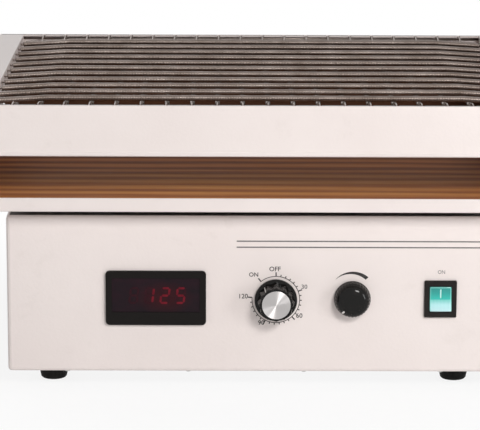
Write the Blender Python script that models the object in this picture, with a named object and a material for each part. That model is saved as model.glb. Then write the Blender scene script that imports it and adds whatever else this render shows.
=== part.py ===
"""Reciprocating lab shaker: a spring-net tray that slides from side to side on a closed drive base.

Metres, +Z up, the front faces -Y and the origin is the centre of the footprint on the bench. Each physical
piece is one object. The pieces that move together hang on one empty, placed on their joint's axis.
"""

import math

import bmesh
import bpy
from mathutils import Matrix, Vector

MM = 0.001

# Fits shared by all pieces
FIT = 0.3 * MM
OVERRUN = 2 * MM
SHEET = 1.5 * MM

# Levels, from the bench up
FOOT_HEIGHT = 14 * MM
CASE_HEIGHT = 128 * MM
TRAY_GAP = 7.5 * MM
PAN_LIP = 11 * MM
WINDOW_HEIGHT = 33.5 * MM
FRAME_HEIGHT = 40.3 * MM

# Drive base
CASE_WIDTH = 395 * MM
CASE_DEPTH = 332 * MM
CASE_EDGE = 3 * MM
EDGE_STEPS = 3
CASE_FLANGE = 12 * MM
FOOT_INSET_X = 34.5 * MM
FOOT_INSET_Y = 35 * MM
FOOT_TOP_RADIUS = 13 * MM
FOOT_BASE_RADIUS = 9.5 * MM
FOOT_ROUND = 1 * MM
FOOT_SCREW_RADIUS = 4 * MM
FOOT_SCREW_DEPTH = 6 * MM

# Rear panel
VENT_COUNT = 9
VENT_ROWS = 2
VENT_LENGTH = 30 * MM
VENT_WIDTH = 4 * MM
VENT_PITCH = 10 * MM
VENT_INSET_X = 127.5 * MM
VENT_HEIGHT_SHARE = 0.578
VENT_ROW_PITCH = 38 * MM
INLET_INSET_X = 67.5 * MM
INLET_RISE = 36 * MM
INLET_FLANGE_LIP = 2.5 * MM
INLET_FLANGE_THICKNESS = 2 * MM
INLET_BODY_WIDTH = 27 * MM
INLET_BODY_HEIGHT = 20 * MM
INLET_BODY_DEPTH = 20 * MM
INLET_WALL = 1.7 * MM
INLET_CORNER = 3 * MM
INLET_RECESS_DEPTH = 16 * MM
INLET_PIN_WIDTH = 2 * MM
INLET_PIN_HEIGHT = 4 * MM
INLET_PIN_LENGTH = 10 * MM
INLET_PIN_SPREAD = 7 * MM
INLET_PIN_RISE = 3 * MM

# Front panel instruments: centres as shares of the case's width, from its middle, and of its height
DISPLAY_SHARES = (-0.1992, 0.4797)
TIMER_SHARES = (0.0432, 0.4688)
SPEED_SHARES = (0.1976, 0.4766)
SWITCH_SHARES = (0.3757, 0.4773)
DISPLAY_WIDTH = 80 * MM
DISPLAY_HEIGHT = 44.4 * MM
DISPLAY_THICKNESS = 2 * MM
DISPLAY_CORNER = 3 * MM
DISPLAY_BORDER = 2 * MM
SCREEN_SIDE_MARGIN = 4.8 * MM
SCREEN_EDGE_MARGIN = 8.2 * MM
SCREEN_DEPTH = 0.8 * MM
SCREEN_RAISE = 2.4 * MM
MODULE_DEPTH = 9 * MM
MODULE_BOARD = 1.6 * MM
TIMER_BODY_RADIUS = 24 * MM
TIMER_BODY_DEPTH = 35 * MM
BUSH_WALL = 1.7 * MM
BUSH_PROUD = 2 * MM
SHAFT_RADIUS = 3 * MM
SHAFT_INSET = 16 * MM
KNOB_GAP = 1 * MM
KNOB_RECESS_ROOM = 2 * MM
TIMER_SKIRT_WIDTH = 1.6 * MM
TIMER_KNOB_DEPTH = 17.5 * MM
TIMER_SKIRT = 2.6 * MM
TIMER_GRIP_RADIUS = 15.4 * MM
TIMER_GRIP_TAPER = 1.4 * MM
FLUTE_COUNT = 12
FLUTE_DEPTH = 1.5 * MM
CAP_MARGIN = 2.7 * MM
CAP_THICKNESS = 1.1 * MM
CAP_RECESS = 0.5 * MM
SPEED_KNOB_RADIUS = 14.7 * MM
SPEED_KNOB_DEPTH = 12 * MM
SPEED_KNOB_ROUND = 3 * MM
SPEED_KNOB_TAPER = 2.7 * MM
SPEED_KNOB_DISH = 0.9 * MM
POT_RADIUS = 12 * MM
POT_DEPTH = 11 * MM
KNOB_BORE_DEPTH = 10 * MM
SWITCH_WIDTH = 25.8 * MM
SWITCH_HEIGHT = 30.1 * MM
SWITCH_BEZEL = 2.2 * MM
SWITCH_BORDER = 2 * MM
SWITCH_DEPTH = 24 * MM
ROCKER_WIDTH = 17.2 * MM
ROCKER_RADIUS = 10 * MM
ROCKER_FRONT = 2.6 * MM
ROCKER_MIDDLE = 1.3 * MM
ROCKER_PIVOT_DEPTH = 1 * MM
ROCKER_POCKET_DEPTH = 9 * MM
ROCKER_TILT_DEG = 11
ROCKER_BACK_DEG = 32

# Tray
TRAY_WIDTH = 460 * MM
TRAY_DEPTH = 372 * MM
FRAME_ROUND = 1.4 * MM
FRAME_ROUND_STEPS = 3
FRONT_FLANGE = 4.3 * MM
HEM_PROUD = 0.8 * MM
HEM_HEIGHT = 3 * MM
HEM_RETURN = 8 * MM
SIDE_FLANGE = 20 * MM
SIDE_LIP = 12 * MM
BOARD_SINK = 0.5 * MM
REAR_BOARD_THICKNESS = 9 * MM

# Spring net
LONG_COUNT = 13
LONG_RADIUS = 2.6 * MM
LONG_END_ROOM = 5 * MM
LONG_TOP_PROUD = 1.7 * MM
LONG_END_DIP = 2.5 * MM
LONG_DIP_LENGTH = 42 * MM
LONG_DIP_STEPS = 2
CROSS_COUNT = 20
CROSS_RADIUS = 2 * MM
WIRE_RADIUS = 0.7 * MM
SHOULDER_LENGTH = 1.5 * MM
HOOK_RADIUS = 1.6 * MM
HOOK_ROOM = 0.5 * MM
HOOK_HOLE_ROOM = 0.8 * MM
HOOK_STEPS = 3
HOOK_HOLE_SIDES = 8
CROSS_RISE_LENGTH = 20 * MM
CROSS_END_ROOM = 27 * MM
ANCHOR_RADIUS = 0.9 * MM
LONG_SIDES = 8
CROSS_SIDES = 6

# Slide and drive inside the base
STROKE = 10 * MM
ROD_RADIUS = 5 * MM
ROD_INSET_Y = 76 * MM
ROD_OVERHANG = 3 * MM
ROD_BELOW_TOP = 30 * MM
SUPPORT_INSET_X = 32.5 * MM
SUPPORT_THICKNESS = 8 * MM
SUPPORT_MARGIN = 15 * MM
SUPPORT_ABOVE_ROD = 12 * MM
SUPPORT_LEG = 34 * MM
SUPPORT_SILL = 12 * MM
SUPPORT_HEAD = 28 * MM
BLOCK_INSET_X = 45 * MM
BLOCK_LENGTH = 36 * MM
BLOCK_DEPTH = 30 * MM
BLOCK_HEIGHT = 26 * MM
BLOCK_EDGE = 1.2 * MM
PLATE_MARGIN_X = 10 * MM
PLATE_MARGIN_Y = 7 * MM
PLATE_THICKNESS = 3 * MM
PLATE_WINDOW_MARGIN = 28 * MM
PLATE_WINDOW_SILL = 47 * MM
PLATE_SPINE = 100 * MM
PLATE_CORNER = 8 * MM
STANDOFF_RADIUS = 6 * MM
STANDOFF_FLANGE_RADIUS = 10 * MM
STANDOFF_FLANGE = 2 * MM
SLOT_CLEARANCE = 3 * MM
CRANK_PULLEY_RADIUS = 45 * MM
PULLEY_RATIO = 3
PULLEY_GROOVE = 8 * MM
PULLEY_RIM = 2 * MM
PULLEY_RIM_HEIGHT = 4.5 * MM
PULLEY_WEB = 5 * MM
PULLEY_HUB_WALL = 4 * MM
DRIVE_DROP = 55.3 * MM
PULLEY_RIM_WIDTH = 6 * MM
BELT_THICKNESS = 3 * MM
CRANK_SHAFT_RADIUS = 6 * MM
CRANK_PIN_RADIUS = 4 * MM
CRANK_PIN_HEIGHT = 18 * MM
BEARING_WALL = 10 * MM
BEARING_FLANGE_WIDTH = 14 * MM
BEARING_FLANGE = 6 * MM
BEARING_RUNNING_GAP = 1 * MM
MOTOR_X = -95 * MM
MOTOR_RADIUS = 37 * MM
MOTOR_CHAMFER = 3 * MM
MOTOR_BOSS_RADIUS = 12 * MM
MOTOR_BOSS_HEIGHT = 4 * MM
MOTOR_SHAFT_RADIUS = 4 * MM
MOTOR_SHAFT_SUNK = 22 * MM
YOKE_PLAY_SHARE = 0.21
YOKE_WALL = 10 * MM
YOKE_FOOT = 10 * MM
YOKE_FOOT_THICKNESS = 5 * MM
YOKE_POCKET_ROOM = 3 * MM
YOKE_LIFT = 7 * MM
CONTROL_INSET_X = 102.5 * MM
CONTROL_INSET_Y = 54 * MM
CONTROL_WIDTH = 116 * MM
CONTROL_DEPTH = 84 * MM
CONTROL_THICKNESS = 1.6 * MM
CONTROL_RISE = 10 * MM
CONTROL_POST_RADIUS = 3 * MM
CONTROL_POST_INSET = 6 * MM
TRANSFORMER_SHARE = -0.29
TRANSFORMER_SIZE = 36 * MM
CAPACITOR_SHARE = 0.25
CAPACITOR_RADIUS = 9 * MM
CAPACITOR_HEIGHT = 26 * MM
HEAT_SINK_SHARE = 0.28
HEAT_SINK_LENGTH = 40 * MM
HEAT_SINK_WIDTH = 4 * MM
HEAT_SINK_HEIGHT = 30 * MM
HEAT_SINK_FINS = 3
HEAT_SINK_PITCH = 10 * MM

# Facets round a turned piece
FINE_SIDES = 48
ROUND_SIDES = 24
SMALL_SIDES = 16
SHARP_ANGLE_DEG = 35

# Places worked out from the sizes above
CASE_BOTTOM = FOOT_HEIGHT
CASE_TOP = CASE_BOTTOM + CASE_HEIGHT
PAN_BOTTOM = CASE_TOP + TRAY_GAP
LIP_TOP = PAN_BOTTOM + PAN_LIP
FRAME_BOTTOM = LIP_TOP + WINDOW_HEIGHT
TRAY_TOP = FRAME_BOTTOM + FRAME_HEIGHT
FRONT = -CASE_DEPTH / 2
BACK = CASE_DEPTH / 2
PLATE_FLOOR = CASE_BOTTOM + SHEET + FIT
INSIDE_FLOOR = PLATE_FLOOR + SHEET + FIT
INLET_X = INLET_INSET_X - CASE_WIDTH / 2
INLET_Z = CASE_BOTTOM + INLET_RISE
DISPLAY_X, DISPLAY_Z = CASE_WIDTH * DISPLAY_SHARES[0], CASE_BOTTOM + CASE_HEIGHT * DISPLAY_SHARES[1]
TIMER_X, TIMER_Z = CASE_WIDTH * TIMER_SHARES[0], CASE_BOTTOM + CASE_HEIGHT * TIMER_SHARES[1]
SPEED_X, SPEED_Z = CASE_WIDTH * SPEED_SHARES[0], CASE_BOTTOM + CASE_HEIGHT * SPEED_SHARES[1]
SWITCH_X, SWITCH_Z = CASE_WIDTH * SWITCH_SHARES[0], CASE_BOTTOM + CASE_HEIGHT * SWITCH_SHARES[1]
SCREEN_WIDTH = DISPLAY_WIDTH - 2 * SCREEN_SIDE_MARGIN
SCREEN_HEIGHT = DISPLAY_HEIGHT - 2 * SCREEN_EDGE_MARGIN
BUSH_RADIUS = SHAFT_RADIUS + BUSH_WALL
KNOB_BACK = FRONT - KNOB_GAP
KNOB_RECESS_RADIUS = BUSH_RADIUS + KNOB_RECESS_ROOM
KNOB_RECESS_DEPTH = BUSH_PROUD - KNOB_GAP + KNOB_RECESS_ROOM
TIMER_KNOB_RADIUS = TIMER_GRIP_RADIUS + TIMER_SKIRT_WIDTH
CAP_RADIUS = TIMER_GRIP_RADIUS - TIMER_GRIP_TAPER - CAP_MARGIN
HOOK_HOLE_RADIUS = WIRE_RADIUS + HOOK_HOLE_ROOM
NOTCH_WIDTH = 2 * HOOK_HOLE_RADIUS
HOOK_LEVEL = TRAY_TOP - FIT / 3 - WIRE_RADIUS
LONG_LEVEL = TRAY_TOP + LONG_TOP_PROUD - LONG_RADIUS
OUTER_LONG_LEVEL = HOOK_LEVEL - WIRE_RADIUS - HOOK_ROOM - LONG_RADIUS
LONG_INSET = SHEET + 2 * FIT + 2 * ANCHOR_RADIUS + LONG_END_ROOM + LONG_RADIUS
LONG_PITCH = (TRAY_DEPTH - 2 * LONG_INSET) / (LONG_COUNT - 1)
CROSS_LEVEL = LONG_LEVEL - LONG_RADIUS - FIT - CROSS_RADIUS
CROSS_PITCH = (TRAY_WIDTH - 2 * SIDE_FLANGE) / (CROSS_COUNT + 1)
CROSS_BODY_END = TRAY_DEPTH / 2 - LONG_INSET - CROSS_END_ROOM
SIDE_INNER = TRAY_WIDTH / 2 - SHEET
BOARD_END = SIDE_INNER - FIT - SHEET - FIT
BOARD_TOP = LIP_TOP - BOARD_SINK
BOARD_BOTTOM = PAN_BOTTOM + SHEET + FIT
LIP_OUTER = TRAY_WIDTH / 2 - SIDE_FLANGE
LIP_INNER = LIP_OUTER - SHEET
LONG_BODY_END = LIP_INNER - SHOULDER_LENGTH - FIT - FIT
SKIN_INNER = TRAY_DEPTH / 2 - SHEET
REAR_BOARD_FRONT = SKIN_INNER - FIT - REAR_BOARD_THICKNESS
FLANGE_EDGE = TRAY_DEPTH / 2 - FRONT_FLANGE
ANCHOR_Y = SKIN_INNER - FIT - ANCHOR_RADIUS
ANCHOR_LEVEL = LONG_LEVEL - LONG_END_DIP
ROD_Y = CASE_DEPTH / 2 - ROD_INSET_Y
ROD_LEVEL = CASE_TOP - ROD_BELOW_TOP
SUPPORT_X = CASE_WIDTH / 2 - SUPPORT_INSET_X
SUPPORT_HALF_DEPTH = ROD_Y + SUPPORT_MARGIN
ROD_HALF_LENGTH = SUPPORT_X + SUPPORT_THICKNESS / 2 + ROD_OVERHANG
BLOCK_X = SUPPORT_X - BLOCK_INSET_X
BLOCK_TOP = ROD_LEVEL + BLOCK_HEIGHT / 2
PLATE_WIDTH = 2 * (BLOCK_X + PLATE_MARGIN_X) + BLOCK_LENGTH
PLATE_DEPTH = 2 * (ROD_Y + PLATE_MARGIN_Y) + BLOCK_DEPTH
SLIDE_LEVEL = BLOCK_TOP + FIT
PULLEY_LEVEL = SLIDE_LEVEL - DRIVE_DROP
PULLEY_HEIGHT = PULLEY_GROOVE + PULLEY_RIM + PULLEY_RIM
PULLEY_TOP = PULLEY_LEVEL + PULLEY_HEIGHT
PULLEY_HUB_RADIUS = STROKE + CRANK_PIN_RADIUS + PULLEY_HUB_WALL
MOTOR_PULLEY_RADIUS = CRANK_PULLEY_RADIUS / PULLEY_RATIO
BEARING_RADIUS = CRANK_SHAFT_RADIUS + BEARING_WALL
BEARING_FLANGE_RADIUS = BEARING_RADIUS + BEARING_FLANGE_WIDTH
YOKE_PLAY = STROKE * YOKE_PLAY_SHARE + FIT


def clear_scene():
    for found in list(bpy.data.objects):
        bpy.data.objects.remove(found, do_unlink=True)


def material(name, colour, roughness, metallic=0.0):
    made = bpy.data.materials.new(name)
    made.use_nodes = True
    surface = made.node_tree.nodes["Principled BSDF"]
    surface.inputs["Base Color"].default_value = (*colour, 1.0)
    surface.inputs["Roughness"].default_value = roughness
    surface.inputs["Metallic"].default_value = metallic
    return made


def axis_empty(name, place):
    empty = bpy.data.objects.new(name, None)
    empty.location = place
    bpy.context.scene.collection.objects.link(empty)
    return empty


def mesh_object(name, mesh):
    bmesh.ops.recalc_face_normals(mesh, faces=mesh.faces)
    data = bpy.data.meshes.new(name)
    mesh.to_mesh(data)
    mesh.free()
    made = bpy.data.objects.new(name, data)
    bpy.context.scene.collection.objects.link(made)
    return made


def piece(name, mesh, finish, carrier=None, smooth=False):
    """A named object from a mesh in world coordinates, hung on its carrier empty where it moves."""
    made = mesh_object(name, mesh)
    made.data.materials.append(finish)
    if smooth:
        made.data.shade_smooth()
        made.data.set_sharp_from_angle(angle=math.radians(SHARP_ANGLE_DEG))
    if carrier:
        made.parent = carrier
        made.matrix_parent_inverse = Matrix.Translation(-Vector(carrier.location))
    return made


def boolean(target, name, mesh, operation):
    tool = mesh_object(name, mesh)
    tool.hide_render = True
    tool.display_type = "WIRE"
    step = target.modifiers.new(name, "BOOLEAN")
    step.operation = operation
    step.object = tool


def cut(target, name, mesh):
    boolean(target, f"{name}_cutter", mesh, "DIFFERENCE")


def fuse(target, name, mesh):
    boolean(target, f"{name}_join", mesh, "UNION")


def place_on(plane, first, second, depth):
    if plane == "XY":
        return (first, second, depth)
    if plane == "XZ":
        return (first, depth, second)
    return (depth, first, second)


def add_box(mesh, low, high):
    low = Vector(low)
    high = Vector(high)
    matrix = Matrix.Translation((low + high) / 2) @ Matrix.Diagonal((*(high - low), 1))
    return bmesh.ops.create_cube(mesh, size=1, matrix=matrix)["verts"]


def round_edges(mesh, verts, radius, steps, keep=None):
    """Rounds the edges of a box, apart from those whose two ends both meet keep."""
    edges = {edge for vert in verts for edge in vert.link_edges}
    if keep:
        edges = {edge for edge in edges if not all(keep(vert.co) for vert in edge.verts)}
    ordered = sorted(edges, key=lambda edge: edge.index)
    bmesh.ops.bevel(mesh, geom=ordered, offset=radius, segments=steps, profile=0.5, affect="EDGES")


def add_prism(mesh, outline, plane, start, end):
    """Extrudes an outline from start to end, square to its plane."""
    near = [mesh.verts.new(place_on(plane, *point, start)) for point in outline]
    far = [mesh.verts.new(place_on(plane, *point, end)) for point in outline]
    mesh.faces.new(near)
    mesh.faces.new(far)
    for index in range(len(outline)):
        mesh.faces.new((near[index - 1], near[index], far[index], far[index - 1]))


def add_band(mesh, inner, outer, start, end):
    """A closed loop of material between two outlines with as many points each, in the XY plane."""
    rings = []
    for outline, level in ((inner, start), (outer, start), (outer, end), (inner, end)):
        rings.append([mesh.verts.new((*point, level)) for point in outline])
    for index in range(len(inner)):
        for ring in range(len(rings)):
            first = rings[ring - 1]
            second = rings[ring]
            mesh.faces.new((first[index - 1], first[index], second[index], second[index - 1]))


def arc(centre, radius, start_deg, end_deg, steps):
    points = []
    for step in range(steps + 1):
        angle = math.radians(start_deg + (end_deg - start_deg) * step / steps)
        points.append((centre[0] + radius * math.cos(angle), centre[1] + radius * math.sin(angle)))
    return points


def circle(centre, radius, sides):
    return arc(centre, radius, 0, 360, sides)[:-1]


def stadium(centre, length, width, steps):
    """A slot outline that runs along its first direction."""
    reach = (length - width) / 2
    right = arc((centre[0] + reach, centre[1]), width / 2, -90, 90, steps)
    left = arc((centre[0] - reach, centre[1]), width / 2, 90, 270, steps)
    return right + left


def rounded_rectangle(centre, width, height, radius, steps):
    points = []
    for turn, (side, rise) in enumerate(((1, 1), (-1, 1), (-1, -1), (1, -1))):
        corner_x = centre[0] + side * (width / 2 - radius)
        corner_y = centre[1] + rise * (height / 2 - radius)
        points += arc((corner_x, corner_y), radius, 90 * turn, 90 * turn + 90, steps)
    return points


def ring_edge(ring, side):
    """One edge of a ring, or its single point where the ring is a pole."""
    return ring if len(ring) == 1 else [ring[side - 1], ring[side]]


def add_turned(mesh, profile, centre, axis, sides, flutes=None, flute_count=0):
    """Turns a profile of (radius, place along the axis) points round X, Y or Z. A radius of zero is a pole,
    and a profile without poles closes on itself. Flutes sink the rings by the depths that they give."""
    rings = []
    for index, (radius, along) in enumerate(profile):
        sink = flutes[index] if flutes else 0
        ring = []
        for side in range(sides if radius else 1):
            angle = math.tau * side / sides
            reach = radius - sink * (1 - math.cos(flute_count * angle)) / 2
            first = centre[0] + reach * math.cos(angle)
            second = centre[1] + reach * math.sin(angle)
            plane = {"X": "YZ", "Y": "XZ", "Z": "XY"}[axis]
            ring.append(mesh.verts.new(place_on(plane, first, second, along)))
        rings.append(ring)
    closed = profile[0][0] > 0
    for number in range(0 if closed else 1, len(rings)):
        first = rings[number - 1]
        second = rings[number]
        for side in range(sides):
            mesh.faces.new(ring_edge(first, side) + ring_edge(second, side)[::-1])


def add_tube(mesh, points, radii, sides):
    """A tube of changing radius along a path that lies in one plane."""
    points = [Vector(point) for point in points]
    normal = Vector((0, 0, 1))
    for index in range(1, len(points) - 1):
        bend = (points[index] - points[index - 1]).cross(points[index + 1] - points[index])
        if bend.length > normal.length * FIT * FIT:
            normal = bend.normalized()
            break
    rings = []
    for index, point in enumerate(points):
        before = points[max(index - 1, 0)]
        after = points[min(index + 1, len(points) - 1)]
        forward = (after - before).normalized()
        across = normal.cross(forward).normalized()
        ring = []
        for side in range(sides):
            angle = math.tau * (side + 0.5) / sides
            reach = across * math.cos(angle) + normal * math.sin(angle)
            ring.append(mesh.verts.new(point + reach * radii[index]))
        rings.append(ring)
    for first, second in zip(rings, rings[1:]):
        for side in range(sides):
            mesh.faces.new((first[side - 1], first[side], second[side], second[side - 1]))
    mesh.faces.new(rings[0])
    mesh.faces.new(rings[-1])


# Casing


def base_case(finish):
    mesh = bmesh.new()
    low = (-CASE_WIDTH / 2, FRONT, CASE_BOTTOM)
    high = (CASE_WIDTH / 2, BACK, CASE_TOP)
    verts = add_box(mesh, low, high)
    round_edges(mesh, verts, CASE_EDGE, EDGE_STEPS, keep=lambda place: place.y > 0)
    case = piece("base_case", mesh, finish)
    hollow = bmesh.new()
    inner = CASE_WIDTH / 2 - SHEET
    add_box(hollow, (-inner, FRONT + SHEET, CASE_BOTTOM + SHEET), (inner, BACK + OVERRUN, CASE_TOP - SHEET))
    cut(case, "case_hollow", hollow)
    bottom = bmesh.new()
    edge = CASE_WIDTH / 2 - CASE_FLANGE
    low = (-edge, FRONT + CASE_FLANGE, CASE_BOTTOM - OVERRUN)
    high = (edge, BACK + OVERRUN, CASE_BOTTOM + SHEET + OVERRUN)
    add_box(bottom, low, high)
    cut(case, "case_bottom", bottom)
    holes = bmesh.new()
    near = FRONT - OVERRUN
    far = FRONT + SHEET + OVERRUN
    window = (DISPLAY_WIDTH - 2 * DISPLAY_BORDER, DISPLAY_HEIGHT - 2 * DISPLAY_BORDER)
    add_prism(holes, rounded_rectangle((DISPLAY_X, DISPLAY_Z), *window, DISPLAY_CORNER, EDGE_STEPS),
              "XZ", near, far)
    for place in ((TIMER_X, TIMER_Z), (SPEED_X, SPEED_Z)):
        add_prism(holes, circle(place, BUSH_RADIUS + FIT, SMALL_SIDES), "XZ", near, far)
    add_box(holes, *switch_box(SWITCH_BORDER, near, far))
    for x, y in standoff_places():
        length = 2 * (STROKE + STANDOFF_RADIUS + SLOT_CLEARANCE)
        width = 2 * (STANDOFF_RADIUS + SLOT_CLEARANCE)
        slot = stadium((x, y), length, width, SMALL_SIDES // 2)
        add_prism(holes, slot, "XY", CASE_TOP - SHEET - OVERRUN, CASE_TOP + OVERRUN)
    cut(case, "case_holes", holes)


def switch_box(border, near, far):
    """The corners of a box round the switch's place, inside its bezel by the border."""
    wide = SWITCH_WIDTH / 2 - border
    high = SWITCH_HEIGHT / 2 - border
    return (SWITCH_X - wide, near, SWITCH_Z - high), (SWITCH_X + wide, far, SWITCH_Z + high)


def standoff_places():
    return [(x, y) for x in (-BLOCK_X, BLOCK_X) for y in (-ROD_Y, ROD_Y)]


def bottom_plate(finish):
    mesh = bmesh.new()
    inner = CASE_WIDTH / 2 - SHEET - FIT
    low = (-inner, FRONT + SHEET + FIT, PLATE_FLOOR)
    add_box(mesh, low, (inner, BACK - SHEET - FIT, PLATE_FLOOR + SHEET))
    piece("bottom_plate", mesh, finish)


def rear_panel(finish):
    mesh = bmesh.new()
    inner = CASE_WIDTH / 2 - SHEET - FIT
    low = (-inner, BACK - SHEET, INSIDE_FLOOR)
    add_box(mesh, low, (inner, BACK, CASE_TOP - SHEET - FIT))
    panel = piece("rear_panel", mesh, finish)
    holes = bmesh.new()
    near = BACK - SHEET - OVERRUN
    far = BACK + OVERRUN
    for row in range(VENT_ROWS):
        z = CASE_BOTTOM + CASE_HEIGHT * VENT_HEIGHT_SHARE + (row - (VENT_ROWS - 1) / 2) * VENT_ROW_PITCH
        for column in range(VENT_COUNT):
            x = CASE_WIDTH / 2 - VENT_INSET_X + (column - (VENT_COUNT - 1) / 2) * VENT_PITCH
            outline = [(x + b, z + a) for a, b in stadium((0, 0), VENT_LENGTH, VENT_WIDTH, EDGE_STEPS)]
            add_prism(holes, outline, "XZ", near, far)
    wide = INLET_BODY_WIDTH / 2 + FIT
    high = INLET_BODY_HEIGHT / 2 + FIT
    add_box(holes, (INLET_X - wide, near, INLET_Z - high), (INLET_X + wide, far, INLET_Z + high))
    cut(panel, "rear_holes", holes)


def feet(finish):
    """Four turned rubber feet that share one mesh, with a sunk screw hole underneath."""
    top = PLATE_FLOOR - FIT
    profile = [
        (0, top),
        (FOOT_TOP_RADIUS, top),
        (FOOT_TOP_RADIUS, FOOT_HEIGHT - FOOT_ROUND),
        (FOOT_BASE_RADIUS + FOOT_ROUND, FOOT_ROUND),
        (FOOT_BASE_RADIUS, 0),
        (FOOT_SCREW_RADIUS, 0),
        (FOOT_SCREW_RADIUS, FOOT_SCREW_DEPTH),
        (0, FOOT_SCREW_DEPTH),
    ]
    shared = None
    for name, side, depth in (
        ("foot_front_left", -1, -1),
        ("foot_front_right", 1, -1),
        ("foot_rear_left", -1, 1),
        ("foot_rear_right", 1, 1),
    ):
        if shared is None:
            mesh = bmesh.new()
            add_turned(mesh, profile, (0, 0), "Z", ROUND_SIDES)
            foot = piece(name, mesh, finish, smooth=True)
            shared = foot.data
        else:
            foot = bpy.data.objects.new(name, shared)
            bpy.context.scene.collection.objects.link(foot)
        x = side * (CASE_WIDTH / 2 - FOOT_INSET_X)
        y = depth * (CASE_DEPTH / 2 - FOOT_INSET_Y)
        foot.location = (x, y, 0)


def power_inlet(finish):
    """Three-pin mains inlet: a flange outside the rear panel, a body behind it and pins in its recess."""
    face = BACK + FIT + INLET_FLANGE_THICKNESS
    place = (INLET_X, INLET_Z)
    mesh = bmesh.new()
    size = [side + 2 * INLET_FLANGE_LIP for side in (INLET_BODY_WIDTH, INLET_BODY_HEIGHT)]
    flange = rounded_rectangle(place, *size, INLET_CORNER, EDGE_STEPS)
    add_prism(mesh, flange, "XZ", BACK + FIT, face)
    inlet = piece("power_inlet", mesh, finish)
    body = bmesh.new()
    wide = INLET_BODY_WIDTH / 2
    high = INLET_BODY_HEIGHT / 2
    back = BACK - INLET_BODY_DEPTH
    middle = BACK + FIT + INLET_FLANGE_THICKNESS / 2
    add_box(body, (INLET_X - wide, back, INLET_Z - high), (INLET_X + wide, middle, INLET_Z + high))
    fuse(inlet, "inlet_body", body)
    recess = bmesh.new()
    wide -= INLET_WALL
    high -= INLET_WALL
    floor = face - INLET_RECESS_DEPTH
    add_box(recess, (INLET_X - wide, floor, INLET_Z - high), (INLET_X + wide, face + OVERRUN, INLET_Z + high))
    cut(inlet, "inlet_recess", recess)
    pins = bmesh.new()
    spread, rise = INLET_PIN_SPREAD, INLET_PIN_RISE
    for x, z in ((-spread, -rise), (0, rise), (spread, -rise)):
        half = (INLET_PIN_WIDTH / 2, INLET_PIN_HEIGHT / 2)
        low = (INLET_X + x - half[0], floor - OVERRUN, INLET_Z + z - half[1])
        high_corner = (INLET_X + x + half[0], floor + INLET_PIN_LENGTH, INLET_Z + z + half[1])
        add_box(pins, low, high_corner)
    fuse(inlet, "inlet_pins", pins)


# Front panel instruments


def display_window(finish):
    place = (DISPLAY_X, DISPLAY_Z)
    back = FRONT - FIT
    face = back - DISPLAY_THICKNESS
    mesh = bmesh.new()
    outline = rounded_rectangle(place, DISPLAY_WIDTH, DISPLAY_HEIGHT, DISPLAY_CORNER, EDGE_STEPS)
    add_prism(mesh, outline, "XZ", back, face)
    window = piece("display_window", mesh, finish)
    plug = bmesh.new()
    inset = 2 * (DISPLAY_BORDER + FIT)
    size = (DISPLAY_WIDTH - inset, DISPLAY_HEIGHT - inset)
    outline = rounded_rectangle(place, *size, DISPLAY_CORNER, EDGE_STEPS)
    add_prism(plug, outline, "XZ", FRONT + SHEET, back - DISPLAY_THICKNESS / 2)
    fuse(window, "window_plug", plug)
    screen = bmesh.new()
    outline = rounded_rectangle((DISPLAY_X, DISPLAY_Z + SCREEN_RAISE), SCREEN_WIDTH, SCREEN_HEIGHT,
                                SCREEN_DEPTH, EDGE_STEPS)
    add_prism(screen, outline, "XZ", face + SCREEN_DEPTH, face - OVERRUN)
    cut(window, "window_screen", screen)


def display_module(finish):
    """Three digit blocks on their circuit board, behind the window."""
    front = FRONT + SHEET + FIT
    mesh = bmesh.new()
    wide = DISPLAY_WIDTH / 2 - DISPLAY_BORDER - FIT
    high = DISPLAY_HEIGHT / 2 - DISPLAY_BORDER - FIT
    back = front + MODULE_DEPTH
    low = (DISPLAY_X - wide, back, DISPLAY_Z - high)
    add_box(mesh, low, (DISPLAY_X + wide, back + MODULE_BOARD, DISPLAY_Z + high))
    module = piece("display_module", mesh, finish)
    digits = bmesh.new()
    step = SCREEN_WIDTH / 3
    for number in (-1, 0, 1):
        x = DISPLAY_X + number * step
        low = (x - step / 2 + FIT, front, DISPLAY_Z - SCREEN_HEIGHT / 2)
        add_box(digits, low, (x + step / 2 - FIT, back + MODULE_BOARD / 2, DISPLAY_Z + SCREEN_HEIGHT / 2))
    fuse(module, "module_digits", digits)


def bushed_body(name, place, radius, depth, finish):
    """A round component behind the panel: its bush passes through the panel and holds the knob's shaft."""
    front = FRONT + SHEET + FIT
    back = front + depth
    bore = SHAFT_RADIUS + FIT
    bore_end = FRONT + SHAFT_INSET
    bore_end = min(bore_end, back - SHEET) + FIT
    profile = [
        (0, back),
        (radius - FIT, back),
        (radius, back - SHEET),
        (radius, front),
        (BUSH_RADIUS, front),
        (BUSH_RADIUS, FRONT - BUSH_PROUD),
        (bore, FRONT - BUSH_PROUD),
        (bore, bore_end),
        (0, bore_end),
    ]
    mesh = bmesh.new()
    add_turned(mesh, profile, place, "Y", ROUND_SIDES)
    piece(name, mesh, finish, smooth=True)


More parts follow.
